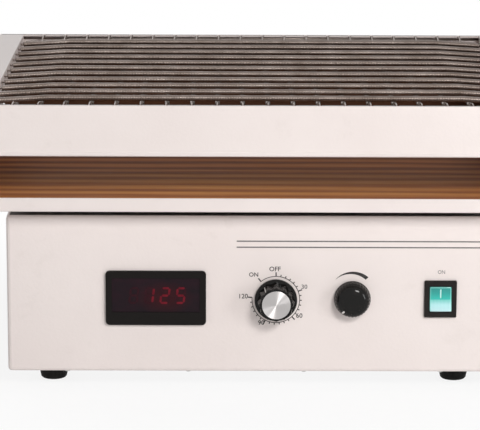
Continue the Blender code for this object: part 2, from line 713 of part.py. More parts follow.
def timer_knob(carrier, black, silver, steel):
    place = (TIMER_X, TIMER_Z)
    back = KNOB_BACK
    face = back - TIMER_KNOB_DEPTH
    skirt = back - TIMER_SKIRT
    grip = TIMER_GRIP_RADIUS
    tip = TIMER_GRIP_RADIUS - TIMER_GRIP_TAPER
    rim = CAP_RADIUS + FIT
    bore = SHAFT_RADIUS + FIT
    bore_end = back - KNOB_RECESS_DEPTH - KNOB_BORE_DEPTH
    rings = [
        (0, bore_end, 0),
        (bore, bore_end, 0),
        (bore, back - KNOB_RECESS_DEPTH, 0),
        (KNOB_RECESS_RADIUS, back - KNOB_RECESS_DEPTH, 0),
        (KNOB_RECESS_RADIUS, back, 0),
        (TIMER_KNOB_RADIUS - FIT, back, 0),
        (TIMER_KNOB_RADIUS, back - FIT, 0),
        (TIMER_KNOB_RADIUS, skirt + FIT + FIT, 0),
        (TIMER_KNOB_RADIUS - FIT, skirt, 0),
        (grip, skirt - FIT, FLUTE_DEPTH),
        (tip, face + SHEET, FLUTE_DEPTH),
        (tip - FIT - FIT, face + FIT, FLUTE_DEPTH / 2),
        (rim + FIT + FIT, face, 0),
        (rim, face, 0),
        (rim, face + CAP_RECESS, 0),
        (0, face + CAP_RECESS, 0),
    ]
    mesh = bmesh.new()
    add_turned(mesh, [ring[:2] for ring in rings], place, "Y", FINE_SIDES,
               [ring[2] for ring in rings], FLUTE_COUNT)
    piece("timer_knob", mesh, black, carrier, smooth=True)
    cap_back = face + CAP_RECESS - FIT
    cap_face = cap_back - CAP_THICKNESS
    cap = [
        (0, cap_back),
        (CAP_RADIUS, cap_back),
        (CAP_RADIUS, cap_face + FIT),
        (CAP_RADIUS - FIT, cap_face),
        (0, cap_face),
    ]
    mesh = bmesh.new()
    add_turned(mesh, cap, place, "Y", FINE_SIDES)
    piece("timer_cap", mesh, silver, carrier, smooth=True)
    mesh = bmesh.new()
    shaft = circle(place, SHAFT_RADIUS, SMALL_SIDES)
    add_prism(mesh, shaft, "XZ", FRONT + SHAFT_INSET, bore_end + FIT)
    piece("timer_shaft", mesh, steel, carrier, smooth=True)


def speed_knob(carrier, black):
    """A smooth round knob with a shallow dished face, moulded round its own shaft."""
    back = KNOB_BACK
    face = back - SPEED_KNOB_DEPTH
    edge = SPEED_KNOB_RADIUS - SPEED_KNOB_TAPER
    centre = edge - SPEED_KNOB_ROUND
    profile = [
        (0, FRONT + SHEET + POT_DEPTH - SHEET - FIT),
        (SHAFT_RADIUS, FRONT + SHEET + POT_DEPTH - SHEET - FIT),
        (SHAFT_RADIUS, back - KNOB_RECESS_DEPTH),
        (KNOB_RECESS_RADIUS, back - KNOB_RECESS_DEPTH),
        (KNOB_RECESS_RADIUS, back),
        (SPEED_KNOB_RADIUS - FIT, back),
        (SPEED_KNOB_RADIUS, back - FIT),
    ]
    for along, reach in arc((0, 0), SPEED_KNOB_ROUND, 0, 90, EDGE_STEPS):
        profile.append((centre + along, face + SPEED_KNOB_ROUND - reach))
    profile += [(centre - SPEED_KNOB_ROUND, face + SPEED_KNOB_DISH / 2), (0, face + SPEED_KNOB_DISH)]
    mesh = bmesh.new()
    add_turned(mesh, profile, (SPEED_X, SPEED_Z), "Y", FINE_SIDES)
    piece("speed_knob", mesh, black, carrier, smooth=True)


def switch_housing(finish):
    back = FRONT - FIT
    face = back - SWITCH_BEZEL
    mesh = bmesh.new()
    verts = add_box(mesh, *switch_box(0, face, back))
    round_edges(mesh, verts, SWITCH_BEZEL / 4, 1, keep=lambda place: place.y > (face + back) / 2)
    housing = piece("switch_housing", mesh, finish)
    body = bmesh.new()
    add_box(body, *switch_box(SWITCH_BORDER + FIT, (face + back) / 2, FRONT + SWITCH_DEPTH))
    fuse(housing, "switch_body", body)
    pocket = bmesh.new()
    wide = ROCKER_WIDTH / 2 + FIT
    high = ROCKER_RADIUS + FIT + FIT
    floor = rocker_pivot()[1] + ROCKER_POCKET_DEPTH
    low = (SWITCH_X - wide, face - OVERRUN, SWITCH_Z - high)
    add_box(pocket, low, (SWITCH_X + wide, floor, SWITCH_Z + high))
    cut(housing, "switch_pocket", pocket)


def rocker_pivot():
    return (SWITCH_X, FRONT - FIT - SWITCH_BEZEL + ROCKER_PIVOT_DEPTH, SWITCH_Z)


def rocker(carrier, finish):
    """The lit rocker, its upper half pressed in. Its ends follow one circle about the pivot."""
    front_deg = math.degrees(math.asin(ROCKER_FRONT / ROCKER_RADIUS))
    top = arc((0, 0), ROCKER_RADIUS, front_deg, -ROCKER_BACK_DEG, EDGE_STEPS + 1)
    outline = [(-reach, rise) for rise, reach in top]
    outline += [(-reach, -rise) for rise, reach in reversed(top)]
    outline.append((-ROCKER_MIDDLE, 0))
    tilt = math.radians(ROCKER_TILT_DEG)
    turned = []
    for y, z in outline:
        turned.append((y * math.cos(tilt) + z * math.sin(tilt), z * math.cos(tilt) - y * math.sin(tilt)))
    pivot = rocker_pivot()
    mesh = bmesh.new()
    placed = [(pivot[1] + y, pivot[2] + z) for y, z in turned]
    add_prism(mesh, placed, "YZ", SWITCH_X - ROCKER_WIDTH / 2, SWITCH_X + ROCKER_WIDTH / 2)
    piece("rocker", mesh, finish, carrier)


# Tray


def tray_pan(carrier, finish):
    mesh = bmesh.new()
    wide = SIDE_INNER - FIT
    deep = TRAY_DEPTH / 2
    verts = add_box(mesh, (-wide, -deep, PAN_BOTTOM), (wide, deep, LIP_TOP))
    bottom = (PAN_BOTTOM + LIP_TOP) / 2

    def upper(place):
        return place.z > bottom or abs(place.y) < deep / 2

    round_edges(mesh, verts, FRAME_ROUND / 2, 1, keep=upper)
    pan = piece("tray_pan", mesh, finish, carrier)
    hollow = bmesh.new()
    inset = SHEET
    low = (-wide + inset, -deep + inset, PAN_BOTTOM + SHEET)
    add_box(hollow, low, (wide - inset, deep - inset, LIP_TOP + OVERRUN))
    cut(pan, "pan_hollow", hollow)


def floor_board(carrier, finish):
    mesh = bmesh.new()
    front = FIT - SKIN_INNER
    rear = REAR_BOARD_FRONT - FIT
    add_box(mesh, (-BOARD_END, front, BOARD_BOTTOM), (BOARD_END, rear, BOARD_TOP))
    piece("floor_board", mesh, finish, carrier)


def rear_board(carrier, finish):
    """Board that stands in the pan behind the floor board and closes the space under the rear panel."""
    mesh = bmesh.new()
    rear = SKIN_INNER - FIT
    add_box(mesh, (-BOARD_END, REAR_BOARD_FRONT, BOARD_BOTTOM), (BOARD_END, rear, FRAME_BOTTOM - FIT))
    piece("rear_board", mesh, finish, carrier)


def frame_outline():
    """Section of a front or rear panel, as distance out from the tray's middle and height: a skin with a
    narrow flange in at the top, a return in at the bottom and a rolled hem that stands proud of the skin."""
    skin = TRAY_DEPTH / 2
    hem = skin + HEM_PROUD
    outline = [(skin, FRAME_BOTTOM), (hem, FRAME_BOTTOM + HEM_PROUD), (hem, FRAME_BOTTOM + HEM_HEIGHT)]
    outline.append((skin, FRAME_BOTTOM + HEM_HEIGHT + HEM_PROUD))
    outline += arc((skin - FRAME_ROUND, TRAY_TOP - FRAME_ROUND), FRAME_ROUND, 0, 90, FRAME_ROUND_STEPS)
    outline += [(FLANGE_EDGE, TRAY_TOP), (FLANGE_EDGE, TRAY_TOP - SHEET), (SKIN_INNER, TRAY_TOP - SHEET)]
    outline += [(SKIN_INNER, FRAME_BOTTOM + SHEET), (skin - HEM_RETURN, FRAME_BOTTOM + SHEET)]
    outline.append((skin - HEM_RETURN, FRAME_BOTTOM))
    return outline


def frame_panel(name, facing, carrier, finish):
    """Front or rear panel of the spring frame, with a notch in its flange for each cross spring's hook."""
    mesh = bmesh.new()
    wide = SIDE_INNER - FIT
    add_prism(mesh, [(facing * out, z) for out, z in frame_outline()], "YZ", -wide, wide)
    panel = piece(name, mesh, finish, carrier)
    notches = bmesh.new()
    for x in cross_places():
        near, far = sorted((facing * (FLANGE_EDGE - OVERRUN), facing * (SKIN_INNER - FIT / 3)))
        low = (x - NOTCH_WIDTH / 2, near, TRAY_TOP - SHEET - OVERRUN)
        add_box(notches, low, (x + NOTCH_WIDTH / 2, far, TRAY_TOP + OVERRUN))
    cut(panel, f"{name}_notches", notches)


def side_panel(name, side, carrier, finish):
    """Full-height side sheet, folded in at the top and down in a lip that takes the long springs."""
    skin = TRAY_WIDTH / 2
    mesh = bmesh.new()
    deep = TRAY_DEPTH / 2
    x = sorted((side * skin, side * SIDE_INNER))
    add_box(mesh, (x[0], -deep, PAN_BOTTOM), (x[1], deep, TRAY_TOP))
    panel = piece(name, mesh, finish, carrier)
    flange = bmesh.new()
    outline = [
        (side * (skin - SHEET / 2), TRAY_TOP),
        (side * LIP_INNER, TRAY_TOP),
        (side * LIP_INNER, TRAY_TOP - SIDE_LIP),
        (side * LIP_OUTER, TRAY_TOP - SIDE_LIP),
        (side * LIP_OUTER, TRAY_TOP - SHEET),
        (side * (skin - SHEET / 2), TRAY_TOP - SHEET),
    ]
    reach = FLANGE_EDGE - FIT
    add_prism(flange, outline, "XZ", -reach, reach)
    fuse(panel, f"{name}_flange", flange)
    holes = bmesh.new()
    ends = sorted((side * (LIP_INNER - OVERRUN), side * (LIP_OUTER + OVERRUN)))
    for y, level in long_places():
        hole = circle((y, level - LONG_END_DIP), HOOK_HOLE_RADIUS, HOOK_HOLE_SIDES)
        add_prism(holes, hole, "YZ", *ends)
    cut(panel, f"{name}_holes", holes)


# Spring net


def long_places():
    """Y and level of each long spring. The outermost two sit lower, under the cross springs' hooks."""
    places = []
    for number in range(LONG_COUNT):
        outer = number in (0, LONG_COUNT - 1)
        y = (number - (LONG_COUNT - 1) / 2) * LONG_PITCH
        places.append((y, OUTER_LONG_LEVEL if outer else LONG_LEVEL))
    return places


def cross_places():
    return [(number - (CROSS_COUNT - 1) / 2) * CROSS_PITCH for number in range(CROSS_COUNT)]


def eased_fall(step):
    return LONG_END_DIP * (1 - math.cos(math.pi * step / LONG_DIP_STEPS)) / 2


def net_fall(x):
    """How far the net lies below its middle at this X: it dips in straight steps towards the side lips."""
    progress = (abs(x) - LONG_BODY_END + LONG_DIP_LENGTH) / LONG_DIP_LENGTH * LONG_DIP_STEPS
    progress = min(max(progress, 0), LONG_DIP_STEPS)
    step = min(math.floor(progress), LONG_DIP_STEPS - 1)
    return eased_fall(step) + (eased_fall(step + 1) - eased_fall(step)) * (progress - step)


def long_half(level):
    """Right half of a long spring as (x, z, radius): level, then dipping to its hook behind the side lip."""
    rows = []
    for step in range(LONG_DIP_STEPS + 1):
        x = LONG_BODY_END - LONG_DIP_LENGTH + LONG_DIP_LENGTH * step / LONG_DIP_STEPS
        rows.append((x, level - net_fall(x), LONG_RADIUS))
    low = level - LONG_END_DIP
    rows.append((LONG_BODY_END + SHOULDER_LENGTH, low, WIRE_RADIUS))
    hook_x = LIP_OUTER + WIRE_RADIUS + FIT + FIT
    for x, z in arc((hook_x, low - HOOK_RADIUS), HOOK_RADIUS, 90, -90, HOOK_STEPS):
        rows.append((x, z, WIRE_RADIUS))
    return rows


def long_springs(carrier, finish):
    """Close-wound springs from side to side, each a straight wound body with a bent hook at both ends."""
    for number, (y, level) in enumerate(long_places(), start=1):
        right = long_half(level)
        rows = [(-x, z, radius) for x, z, radius in reversed(right)] + right
        mesh = bmesh.new()
        add_tube(mesh, [(x, y, z) for x, z, _ in rows], [row[2] for row in rows], LONG_SIDES)
        piece(f"long_spring_{number:02d}", mesh, finish, carrier, smooth=True)


def cross_half(level):
    """Rear half of a cross spring as (y, z, radius): its body, then a hook up over the last long spring and
    down through the flange's notch to the anchor wire."""
    return [
        (CROSS_BODY_END, level, CROSS_RADIUS),
        (CROSS_BODY_END + SHOULDER_LENGTH, level, WIRE_RADIUS),
        (CROSS_BODY_END + CROSS_RISE_LENGTH, HOOK_LEVEL, WIRE_RADIUS),
        (ANCHOR_Y - WIRE_RADIUS, HOOK_LEVEL, WIRE_RADIUS),
        (ANCHOR_Y, HOOK_LEVEL - WIRE_RADIUS, WIRE_RADIUS),
        (ANCHOR_Y, ANCHOR_LEVEL, WIRE_RADIUS),
    ]


def cross_springs(carrier, finish):
    """The net's front-to-back springs, joined at both ends by the wire that runs through their hooks."""
    mesh = bmesh.new()
    reach = SIDE_INNER - FIT
    for y in (-ANCHOR_Y, ANCHOR_Y):
        ends = [(-reach, y, ANCHOR_LEVEL), (reach, y, ANCHOR_LEVEL)]
        add_tube(mesh, ends, [ANCHOR_RADIUS, ANCHOR_RADIUS], LONG_SIDES)
    net = piece("cross_spring_net", mesh, finish, carrier, smooth=True)
    springs = bmesh.new()
    for x in cross_places():
        half = cross_half(CROSS_LEVEL - net_fall(x))
        rows = [(-y, z, radius) for y, z, radius in reversed(half)] + half
        add_tube(springs, [(x, y, z) for y, z, _ in rows], [row[2] for row in rows], CROSS_SIDES)
    fuse(net, "net_springs", springs)


# Slide inside the base


def guide_rods(finish):
    for name, y in (("guide_rod_front", -ROD_Y), ("guide_rod_rear", ROD_Y)):
        mesh = bmesh.new()
        outline = circle((y, ROD_LEVEL), ROD_RADIUS, ROUND_SIDES)
        add_prism(mesh, outline, "YZ", -ROD_HALF_LENGTH, ROD_HALF_LENGTH)
        piece(name, mesh, finish, smooth=True)


def rod_supports(finish):
    """End plates that stand on the bottom plate and hold both guide rods."""
    for name, x in (("rod_support_left", -SUPPORT_X), ("rod_support_right", SUPPORT_X)):
        near = x - SUPPORT_THICKNESS / 2
        far = x + SUPPORT_THICKNESS / 2
        top = ROD_LEVEL + SUPPORT_ABOVE_ROD
        mesh = bmesh.new()
        add_box(mesh, (near, -SUPPORT_HALF_DEPTH, INSIDE_FLOOR), (far, SUPPORT_HALF_DEPTH, top))
        support = piece(name, mesh, finish)
        holes = bmesh.new()
        for y in (-ROD_Y, ROD_Y):
            add_prism(holes, circle((y, ROD_LEVEL), ROD_RADIUS + FIT, ROUND_SIDES), "YZ",
                      near - OVERRUN, far + OVERRUN)
        inner = SUPPORT_HALF_DEPTH - SUPPORT_LEG
        low = (near - OVERRUN, -inner, INSIDE_FLOOR + SUPPORT_SILL)
        add_box(holes, low, (far + OVERRUN, inner, top - SUPPORT_HEAD))
        cut(support, f"{name}_holes", holes)


def bearing_blocks(carrier, finish):
    names = ("left_front", "left_rear", "right_front", "right_rear")
    for name, (x, y) in zip(names, standoff_places()):
        mesh = bmesh.new()
        half = Vector((BLOCK_LENGTH, BLOCK_DEPTH, BLOCK_HEIGHT)) / 2
        middle = Vector((x, y, ROD_LEVEL))
        verts = add_box(mesh, middle - half, middle + half)
        round_edges(mesh, verts, BLOCK_EDGE, 1)
        block = piece(f"bearing_block_{name}", mesh, finish, carrier)
        bore = bmesh.new()
        reach = BLOCK_LENGTH / 2 + OVERRUN
        add_prism(bore, circle((y, ROD_LEVEL), ROD_RADIUS + FIT, ROUND_SIDES), "YZ", x - reach, x + reach)
        cut(block, f"bearing_bore_{name}", bore)


def slide_plate(carrier, finish):
    mesh = bmesh.new()
    outline = rounded_rectangle((0, 0), PLATE_WIDTH, PLATE_DEPTH, PLATE_CORNER, EDGE_STEPS)
    add_prism(mesh, outline, "XY", SLIDE_LEVEL, SLIDE_LEVEL + PLATE_THICKNESS)
    plate = piece("slide_plate", mesh, finish, carrier)
    windows = bmesh.new()
    size = (PLATE_WIDTH / 2 - PLATE_SPINE / 2 - PLATE_WINDOW_MARGIN, PLATE_DEPTH - 2 * PLATE_WINDOW_SILL)
    for side in (-1, 1):
        centre = (side * (PLATE_SPINE + size[0]) / 2, 0)
        outline = rounded_rectangle(centre, *size, PLATE_CORNER, EDGE_STEPS)
        add_prism(windows, outline, "XY", SLIDE_LEVEL - OVERRUN, SLIDE_LEVEL + PLATE_THICKNESS + OVERRUN)
    cut(plate, "plate_windows", windows)


def standoffs(carrier, finish):
    """Posts that carry the tray on the slide plate, through the slots in the case's top."""
    low = SLIDE_LEVEL + PLATE_THICKNESS + FIT
    high = PAN_BOTTOM - FIT
    profile = [
        (0, low),
        (STANDOFF_FLANGE_RADIUS, low),
        (STANDOFF_FLANGE_RADIUS, low + STANDOFF_FLANGE),
        (STANDOFF_RADIUS, low + STANDOFF_FLANGE),
        (STANDOFF_RADIUS, high - STANDOFF_FLANGE),
        (STANDOFF_FLANGE_RADIUS, high - STANDOFF_FLANGE),
        (STANDOFF_FLANGE_RADIUS, high),
        (0, high),
    ]
    names = ("left_front", "left_rear", "right_front", "right_rear")
    for name, place in zip(names, standoff_places()):
        mesh = bmesh.new()
        add_turned(mesh, profile, place, "Z", SMALL_SIDES)
        piece(f"standoff_{name}", mesh, finish, carrier, smooth=True)


# Drive inside the base


def crank_wheel(carrier, finish, steel):
    """Large belt pulley with its crank pin, on a shaft in the bearing. The pin starts nearest the front."""
    rim = CRANK_PULLEY_RADIUS + PULLEY_RIM_HEIGHT
    low = PULLEY_LEVEL
    high = PULLEY_TOP
    inner = CRANK_PULLEY_RADIUS - PULLEY_RIM_WIDTH
    web = (low + high - PULLEY_WEB) / 2
    bore = CRANK_SHAFT_RADIUS + FIT
    bore_end = high - PULLEY_RIM - PULLEY_RIM
    profile = [
        (0, bore_end),
        (bore, bore_end),
        (bore, low),
        (PULLEY_HUB_RADIUS, low),
        (PULLEY_HUB_RADIUS, web),
        (inner, web),
        (inner, low),
        (rim, low),
        (rim, low + PULLEY_RIM),
        (CRANK_PULLEY_RADIUS, low + PULLEY_RIM),
        (CRANK_PULLEY_RADIUS, high - PULLEY_RIM),
        (rim, high - PULLEY_RIM),
        (rim, high),
        (inner, high),
        (inner, web + PULLEY_WEB),
        (PULLEY_HUB_RADIUS, web + PULLEY_WEB),
        (PULLEY_HUB_RADIUS, high),
        (0, high),
    ]
    mesh = bmesh.new()
    add_turned(mesh, profile, (0, 0), "Z", ROUND_SIDES)
    wheel = piece("crank_wheel", mesh, finish, carrier, smooth=True)
    pin = bmesh.new()
    outline = circle((0, -STROKE), CRANK_PIN_RADIUS, SMALL_SIDES)
    add_prism(pin, outline, "XY", high - PULLEY_RIM, high + CRANK_PIN_HEIGHT)
    fuse(wheel, "crank_pin", pin)
    mesh = bmesh.new()
    outline = circle((0, 0), CRANK_SHAFT_RADIUS, SMALL_SIDES)
    add_prism(mesh, outline, "XY", INSIDE_FLOOR + PULLEY_RIM, bore_end - FIT)
    piece("crank_shaft", mesh, steel, carrier, smooth=True)


def crank_bearing(finish):
    low = INSIDE_FLOOR
    high = PULLEY_LEVEL - BEARING_RUNNING_GAP
    bore = CRANK_SHAFT_RADIUS + FIT
    profile = [
        (bore, low),
        (BEARING_FLANGE_RADIUS, low),
        (BEARING_FLANGE_RADIUS, low + BEARING_FLANGE),
        (BEARING_RADIUS, low + BEARING_FLANGE),
        (BEARING_RADIUS, high),
        (bore, high),
    ]
    mesh = bmesh.new()
    add_turned(mesh, profile, (0, 0), "Z", ROUND_SIDES)
    piece("crank_bearing", mesh, finish, smooth=True)


def motor(finish):
    low = INSIDE_FLOOR
    high = PULLEY_LEVEL - MOTOR_BOSS_HEIGHT - BEARING_RUNNING_GAP
    bore = MOTOR_SHAFT_RADIUS + FIT
    bore_end = high - MOTOR_SHAFT_SUNK - FIT
    profile = [
        (0, low),
        (MOTOR_RADIUS - MOTOR_CHAMFER, low),
        (MOTOR_RADIUS, low + MOTOR_CHAMFER),
        (MOTOR_RADIUS, high - MOTOR_CHAMFER),
        (MOTOR_RADIUS - MOTOR_CHAMFER, high),
        (MOTOR_BOSS_RADIUS, high),
        (MOTOR_BOSS_RADIUS, high + MOTOR_BOSS_HEIGHT),
        (bore, high + MOTOR_BOSS_HEIGHT),
        (bore, bore_end),
        (0, bore_end),
    ]
    mesh = bmesh.new()
    add_turned(mesh, profile, (MOTOR_X, 0), "Z", ROUND_SIDES)
    piece("motor", mesh, finish, smooth=True)


def motor_pulley(carrier, finish):
    """Small belt pulley, turned in one piece with the motor's shaft."""
    rim = MOTOR_PULLEY_RADIUS + PULLEY_RIM_HEIGHT
    low = PULLEY_LEVEL
    high = PULLEY_TOP
    shaft_end = low - BEARING_RUNNING_GAP - MOTOR_BOSS_HEIGHT - MOTOR_SHAFT_SUNK
    profile = [
        (0, shaft_end),
        (MOTOR_SHAFT_RADIUS, shaft_end),
        (MOTOR_SHAFT_RADIUS, low),
        (rim, low),
        (rim, low + PULLEY_RIM),
        (MOTOR_PULLEY_RADIUS, low + PULLEY_RIM),
        (MOTOR_PULLEY_RADIUS, high - PULLEY_RIM),
        (rim, high - PULLEY_RIM),
        (rim, high),
        (0, high),
    ]
    mesh = bmesh.new()
    add_turned(mesh, profile, (MOTOR_X, 0), "Z", ROUND_SIDES)
    piece("motor_pulley", mesh, finish, carrier, smooth=True)


def belt_outline(extra):
    """The loop round both pulleys, this far outside their grooves."""
    distance = abs(MOTOR_X)
    lean = math.degrees(math.asin((CRANK_PULLEY_RADIUS - MOTOR_PULLEY_RADIUS) / distance))
    big = arc((0, 0), CRANK_PULLEY_RADIUS + extra, -90 - lean, 90 + lean, ROUND_SIDES)
    small = arc((MOTOR_X, 0), MOTOR_PULLEY_RADIUS + extra, 90 + lean, 270 - lean, SMALL_SIDES)
    return big + small


def drive_belt(finish):
    mesh = bmesh.new()
    low = PULLEY_LEVEL + PULLEY_RIM + FIT
    high = PULLEY_TOP - PULLEY_RIM - FIT
    add_band(mesh, belt_outline(FIT), belt_outline(FIT + BELT_THICKNESS), low, high)
    piece("drive_belt", mesh, finish, smooth=True)


def yoke_bracket(carrier, finish):
    """Block under the slide plate whose slot takes the crank pin, which drives the tray sideways."""
    wide = CRANK_PIN_RADIUS + YOKE_PLAY
    front = -STROKE - CRANK_PIN_RADIUS - SLOT_CLEARANCE
    back = CRANK_PIN_RADIUS + SLOT_CLEARANCE
    low = PULLEY_TOP + YOKE_LIFT
    high = SLIDE_LEVEL - FIT
    mesh = bmesh.new()
    add_box(mesh, (-wide - YOKE_WALL, front - YOKE_WALL, low), (wide + YOKE_WALL, back + YOKE_WALL, high))
    yoke = piece("yoke_bracket", mesh, finish, carrier)
    foot = bmesh.new()
    side = wide + YOKE_WALL + YOKE_FOOT
    edge = YOKE_WALL / 2
    add_box(foot, (-side, front - edge, high - YOKE_FOOT_THICKNESS), (side, back + edge, high - FIT))
    fuse(yoke, "yoke_foot", foot)
    slot = bmesh.new()
    top = PULLEY_TOP + CRANK_PIN_HEIGHT + YOKE_POCKET_ROOM
    add_box(slot, (-wide, front, low - OVERRUN), (wide, back, top))
    cut(yoke, "yoke_slot", slot)


def control_board(finish):
    """Circuit board on four posts, with its transformer, capacitors and a finned heat sink."""
    low = INSIDE_FLOOR + CONTROL_RISE
    top = low + CONTROL_THICKNESS
    place = Vector((CASE_WIDTH / 2 - CONTROL_INSET_X, BACK - CONTROL_INSET_Y, 0))
    half = Vector((CONTROL_WIDTH / 2, CONTROL_DEPTH / 2, 0))
    mesh = bmesh.new()
    add_box(mesh, place - half + Vector((0, 0, low)), place + half + Vector((0, 0, top)))
    board = piece("control_board", mesh, finish)
    parts = bmesh.new()
    reach = half - Vector((CONTROL_POST_INSET, CONTROL_POST_INSET, 0))
    middle = (low + top) / 2
    for side in (-1, 1):
        for depth in (-1, 1):
            post = (place.x + side * reach.x, place.y + depth * reach.y)
            add_prism(parts, circle(post, CONTROL_POST_RADIUS, SMALL_SIDES // 2), "XY", INSIDE_FLOOR, middle)
    size = TRANSFORMER_SIZE / 2
    centre = (place.x + CONTROL_WIDTH * TRANSFORMER_SHARE, place.y)
    add_box(parts, (centre[0] - size, centre[1] - size, middle),
            (centre[0] + size, centre[1] + size, top + TRANSFORMER_SIZE))
    for depth in (-1, 1):
        spot = (place.x, place.y + depth * CONTROL_DEPTH * CAPACITOR_SHARE)
        add_prism(parts, circle(spot, CAPACITOR_RADIUS, SMALL_SIDES), "XY", middle, top + CAPACITOR_HEIGHT)
    for fin in range(HEAT_SINK_FINS):
        x = place.x + CONTROL_WIDTH * HEAT_SINK_SHARE + (fin - (HEAT_SINK_FINS - 1) / 2) * HEAT_SINK_PITCH
        add_box(parts, (x - HEAT_SINK_WIDTH / 2, place.y - HEAT_SINK_LENGTH / 2, middle),
                (x + HEAT_SINK_WIDTH / 2, place.y + HEAT_SINK_LENGTH / 2, top + HEAT_SINK_HEIGHT))
    fuse(board, "control_parts", parts)


def main():
    clear_scene()
    white = material("powder_coat", (0.84, 0.79, 0.77), 0.42)
    galvanised = material("galvanised_sheet", (0.6, 0.6, 0.58), 0.45, 0.8)
    rubber = material("foot_rubber", (0.02, 0.02, 0.02), 0.75)
    belt = material("belt_rubber", (0.03, 0.03, 0.03), 0.7)
    black = material("black_phenolic", (0.012, 0.011, 0.011), 0.16)
    plastic = material("black_plastic", (0.02, 0.02, 0.02), 0.4)
    filter_red = material("display_filter", (0.03, 0.006, 0.012), 0.15)
    silver = material("spun_aluminium", (0.85, 0.84, 0.83), 0.25, 1.0)
    green = material("lit_green", (0.03, 0.5, 0.4), 0.2)
    wood = material("varnished_wood", (0.3, 0.12, 0.05), 0.3)
    wire = material("spring_steel", (0.45, 0.39, 0.36), 0.32, 1.0)
    ground = material("ground_steel", (0.7, 0.7, 0.7), 0.2, 1.0)
    cast = material("cast_aluminium", (0.55, 0.55, 0.55), 0.5, 0.9)
    circuit = material("circuit_board", (0.03, 0.16, 0.07), 0.5)
    enamel = material("motor_enamel", (0.08, 0.1, 0.13), 0.45, 0.3)

    tray = axis_empty("tray_axis", (0, 0, ROD_LEVEL))
    crank = axis_empty("crank_axis", (0, 0, PULLEY_LEVEL))
    motor_axis = axis_empty("motor_axis", (MOTOR_X, 0, PULLEY_LEVEL))
    timer = axis_empty("timer_axis", (TIMER_X, KNOB_BACK, TIMER_Z))
    speed = axis_empty("speed_axis", (SPEED_X, KNOB_BACK, SPEED_Z))
    switch = axis_empty("rocker_axis", rocker_pivot())

    base_case(white)
    bottom_plate(galvanised)
    rear_panel(white)
    feet(rubber)
    power_inlet(plastic)
    display_window(filter_red)
    display_module(plastic)
    bushed_body("timer_body", (TIMER_X, TIMER_Z), TIMER_BODY_RADIUS, TIMER_BODY_DEPTH, cast)
    timer_knob(timer, black, silver, ground)
    bushed_body("speed_pot", (SPEED_X, SPEED_Z), POT_RADIUS, POT_DEPTH, cast)
    speed_knob(speed, black)
    switch_housing(plastic)
    rocker(switch, green)
    tray_pan(tray, white)
    floor_board(tray, wood)
    rear_board(tray, wood)
    frame_panel("frame_front", -1, tray, white)
    frame_panel("frame_rear", 1, tray, white)
    side_panel("side_panel_left", -1, tray, white)
    side_panel("side_panel_right", 1, tray, white)
    long_springs(tray, wire)
    cross_springs(tray, wire)
    guide_rods(ground)
    rod_supports(cast)
    bearing_blocks(tray, cast)
    slide_plate(tray, galvanised)
    standoffs(tray, ground)
    crank_bearing(cast)
    crank_wheel(crank, cast, ground)
    motor(enamel)
    motor_pulley(motor_axis, cast)
    drive_belt(belt)
    yoke_bracket(tray, cast)
    control_board(circuit)


main()
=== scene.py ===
"""Looks of the lab shaker: materials, wound springs, panel print, fasteners, light and camera."""

import math

import bmesh
import bpy
from mathutils import Matrix, Vector
from mathutils.bvhtree import BVHTree

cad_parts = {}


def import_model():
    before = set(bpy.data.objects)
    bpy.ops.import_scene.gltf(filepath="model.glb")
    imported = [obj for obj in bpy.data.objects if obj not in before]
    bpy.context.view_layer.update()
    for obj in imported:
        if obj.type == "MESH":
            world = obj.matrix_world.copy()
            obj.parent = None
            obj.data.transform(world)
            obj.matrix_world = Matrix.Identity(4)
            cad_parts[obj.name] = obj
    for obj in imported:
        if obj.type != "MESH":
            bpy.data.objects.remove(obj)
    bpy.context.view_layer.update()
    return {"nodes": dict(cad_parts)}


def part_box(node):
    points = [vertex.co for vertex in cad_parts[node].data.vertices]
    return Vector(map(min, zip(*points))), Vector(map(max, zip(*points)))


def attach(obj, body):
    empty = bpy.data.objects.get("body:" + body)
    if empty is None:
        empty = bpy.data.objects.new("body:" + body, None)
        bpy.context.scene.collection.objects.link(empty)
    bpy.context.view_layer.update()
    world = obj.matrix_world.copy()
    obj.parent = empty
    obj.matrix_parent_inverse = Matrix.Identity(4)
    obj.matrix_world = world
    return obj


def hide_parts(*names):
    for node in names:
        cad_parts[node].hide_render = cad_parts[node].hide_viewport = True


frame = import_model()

MM = 0.001
NODES = frame["nodes"]

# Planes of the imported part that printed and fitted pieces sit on
CASE_LOW, CASE_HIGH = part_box("base_case")
PANEL_FACE = CASE_LOW.y
REAR_FACE = CASE_HIGH.y
CASE_BOTTOM = CASE_LOW.z

# Camera
LENS_MM = 193.05
CAMERA_PLACE = (-24.69 * MM, -2156.75 * MM, 586.8 * MM)
CAMERA_DOWN_DEG = 12.566
CAMERA_YAW_DEG = -0.369
CAMERA_ROLL_DEG = 0.253
SENSOR_MM = 36.0
CAMERA_REACH = 50.0

# Light: place, aim, size, power and tone of each lamp, and what the world adds
WHITE = (1.0, 1.0, 1.0)
LAMPS = {
    "key": ((0.7, -1.6, 1.1), (0.0, -0.1, 0.12), (0.5, 0.45), 19.0, (1.0, 0.985, 0.97)),
    "side": ((1.9, -1.5, 0.35), (0.0, -0.1, 0.1), (0.5, 1.0), 12.0, WHITE),
    "rear": ((-1.1, 1.9, 1.0), (0.0, 0.1, 0.1), (1.0, 0.8), 6.0, WHITE),
}
WORLD_STRENGTH = 0.3
WORLD_TONE = (1.0, 0.99, 0.98)

# Floor, whose own tone shows near the object and turns to plain white further out
FLOOR_HALF = 6.0
FLOOR_DROP = 0.5 * MM
FLOOR_NEAR = 0.24
FLOOR_FAR = 0.5
FLOOR_NEAR_WHITE = 0.86

# Values between which most of a noise lies
NOISE_LOW = 0.3
NOISE_HIGH = 0.7

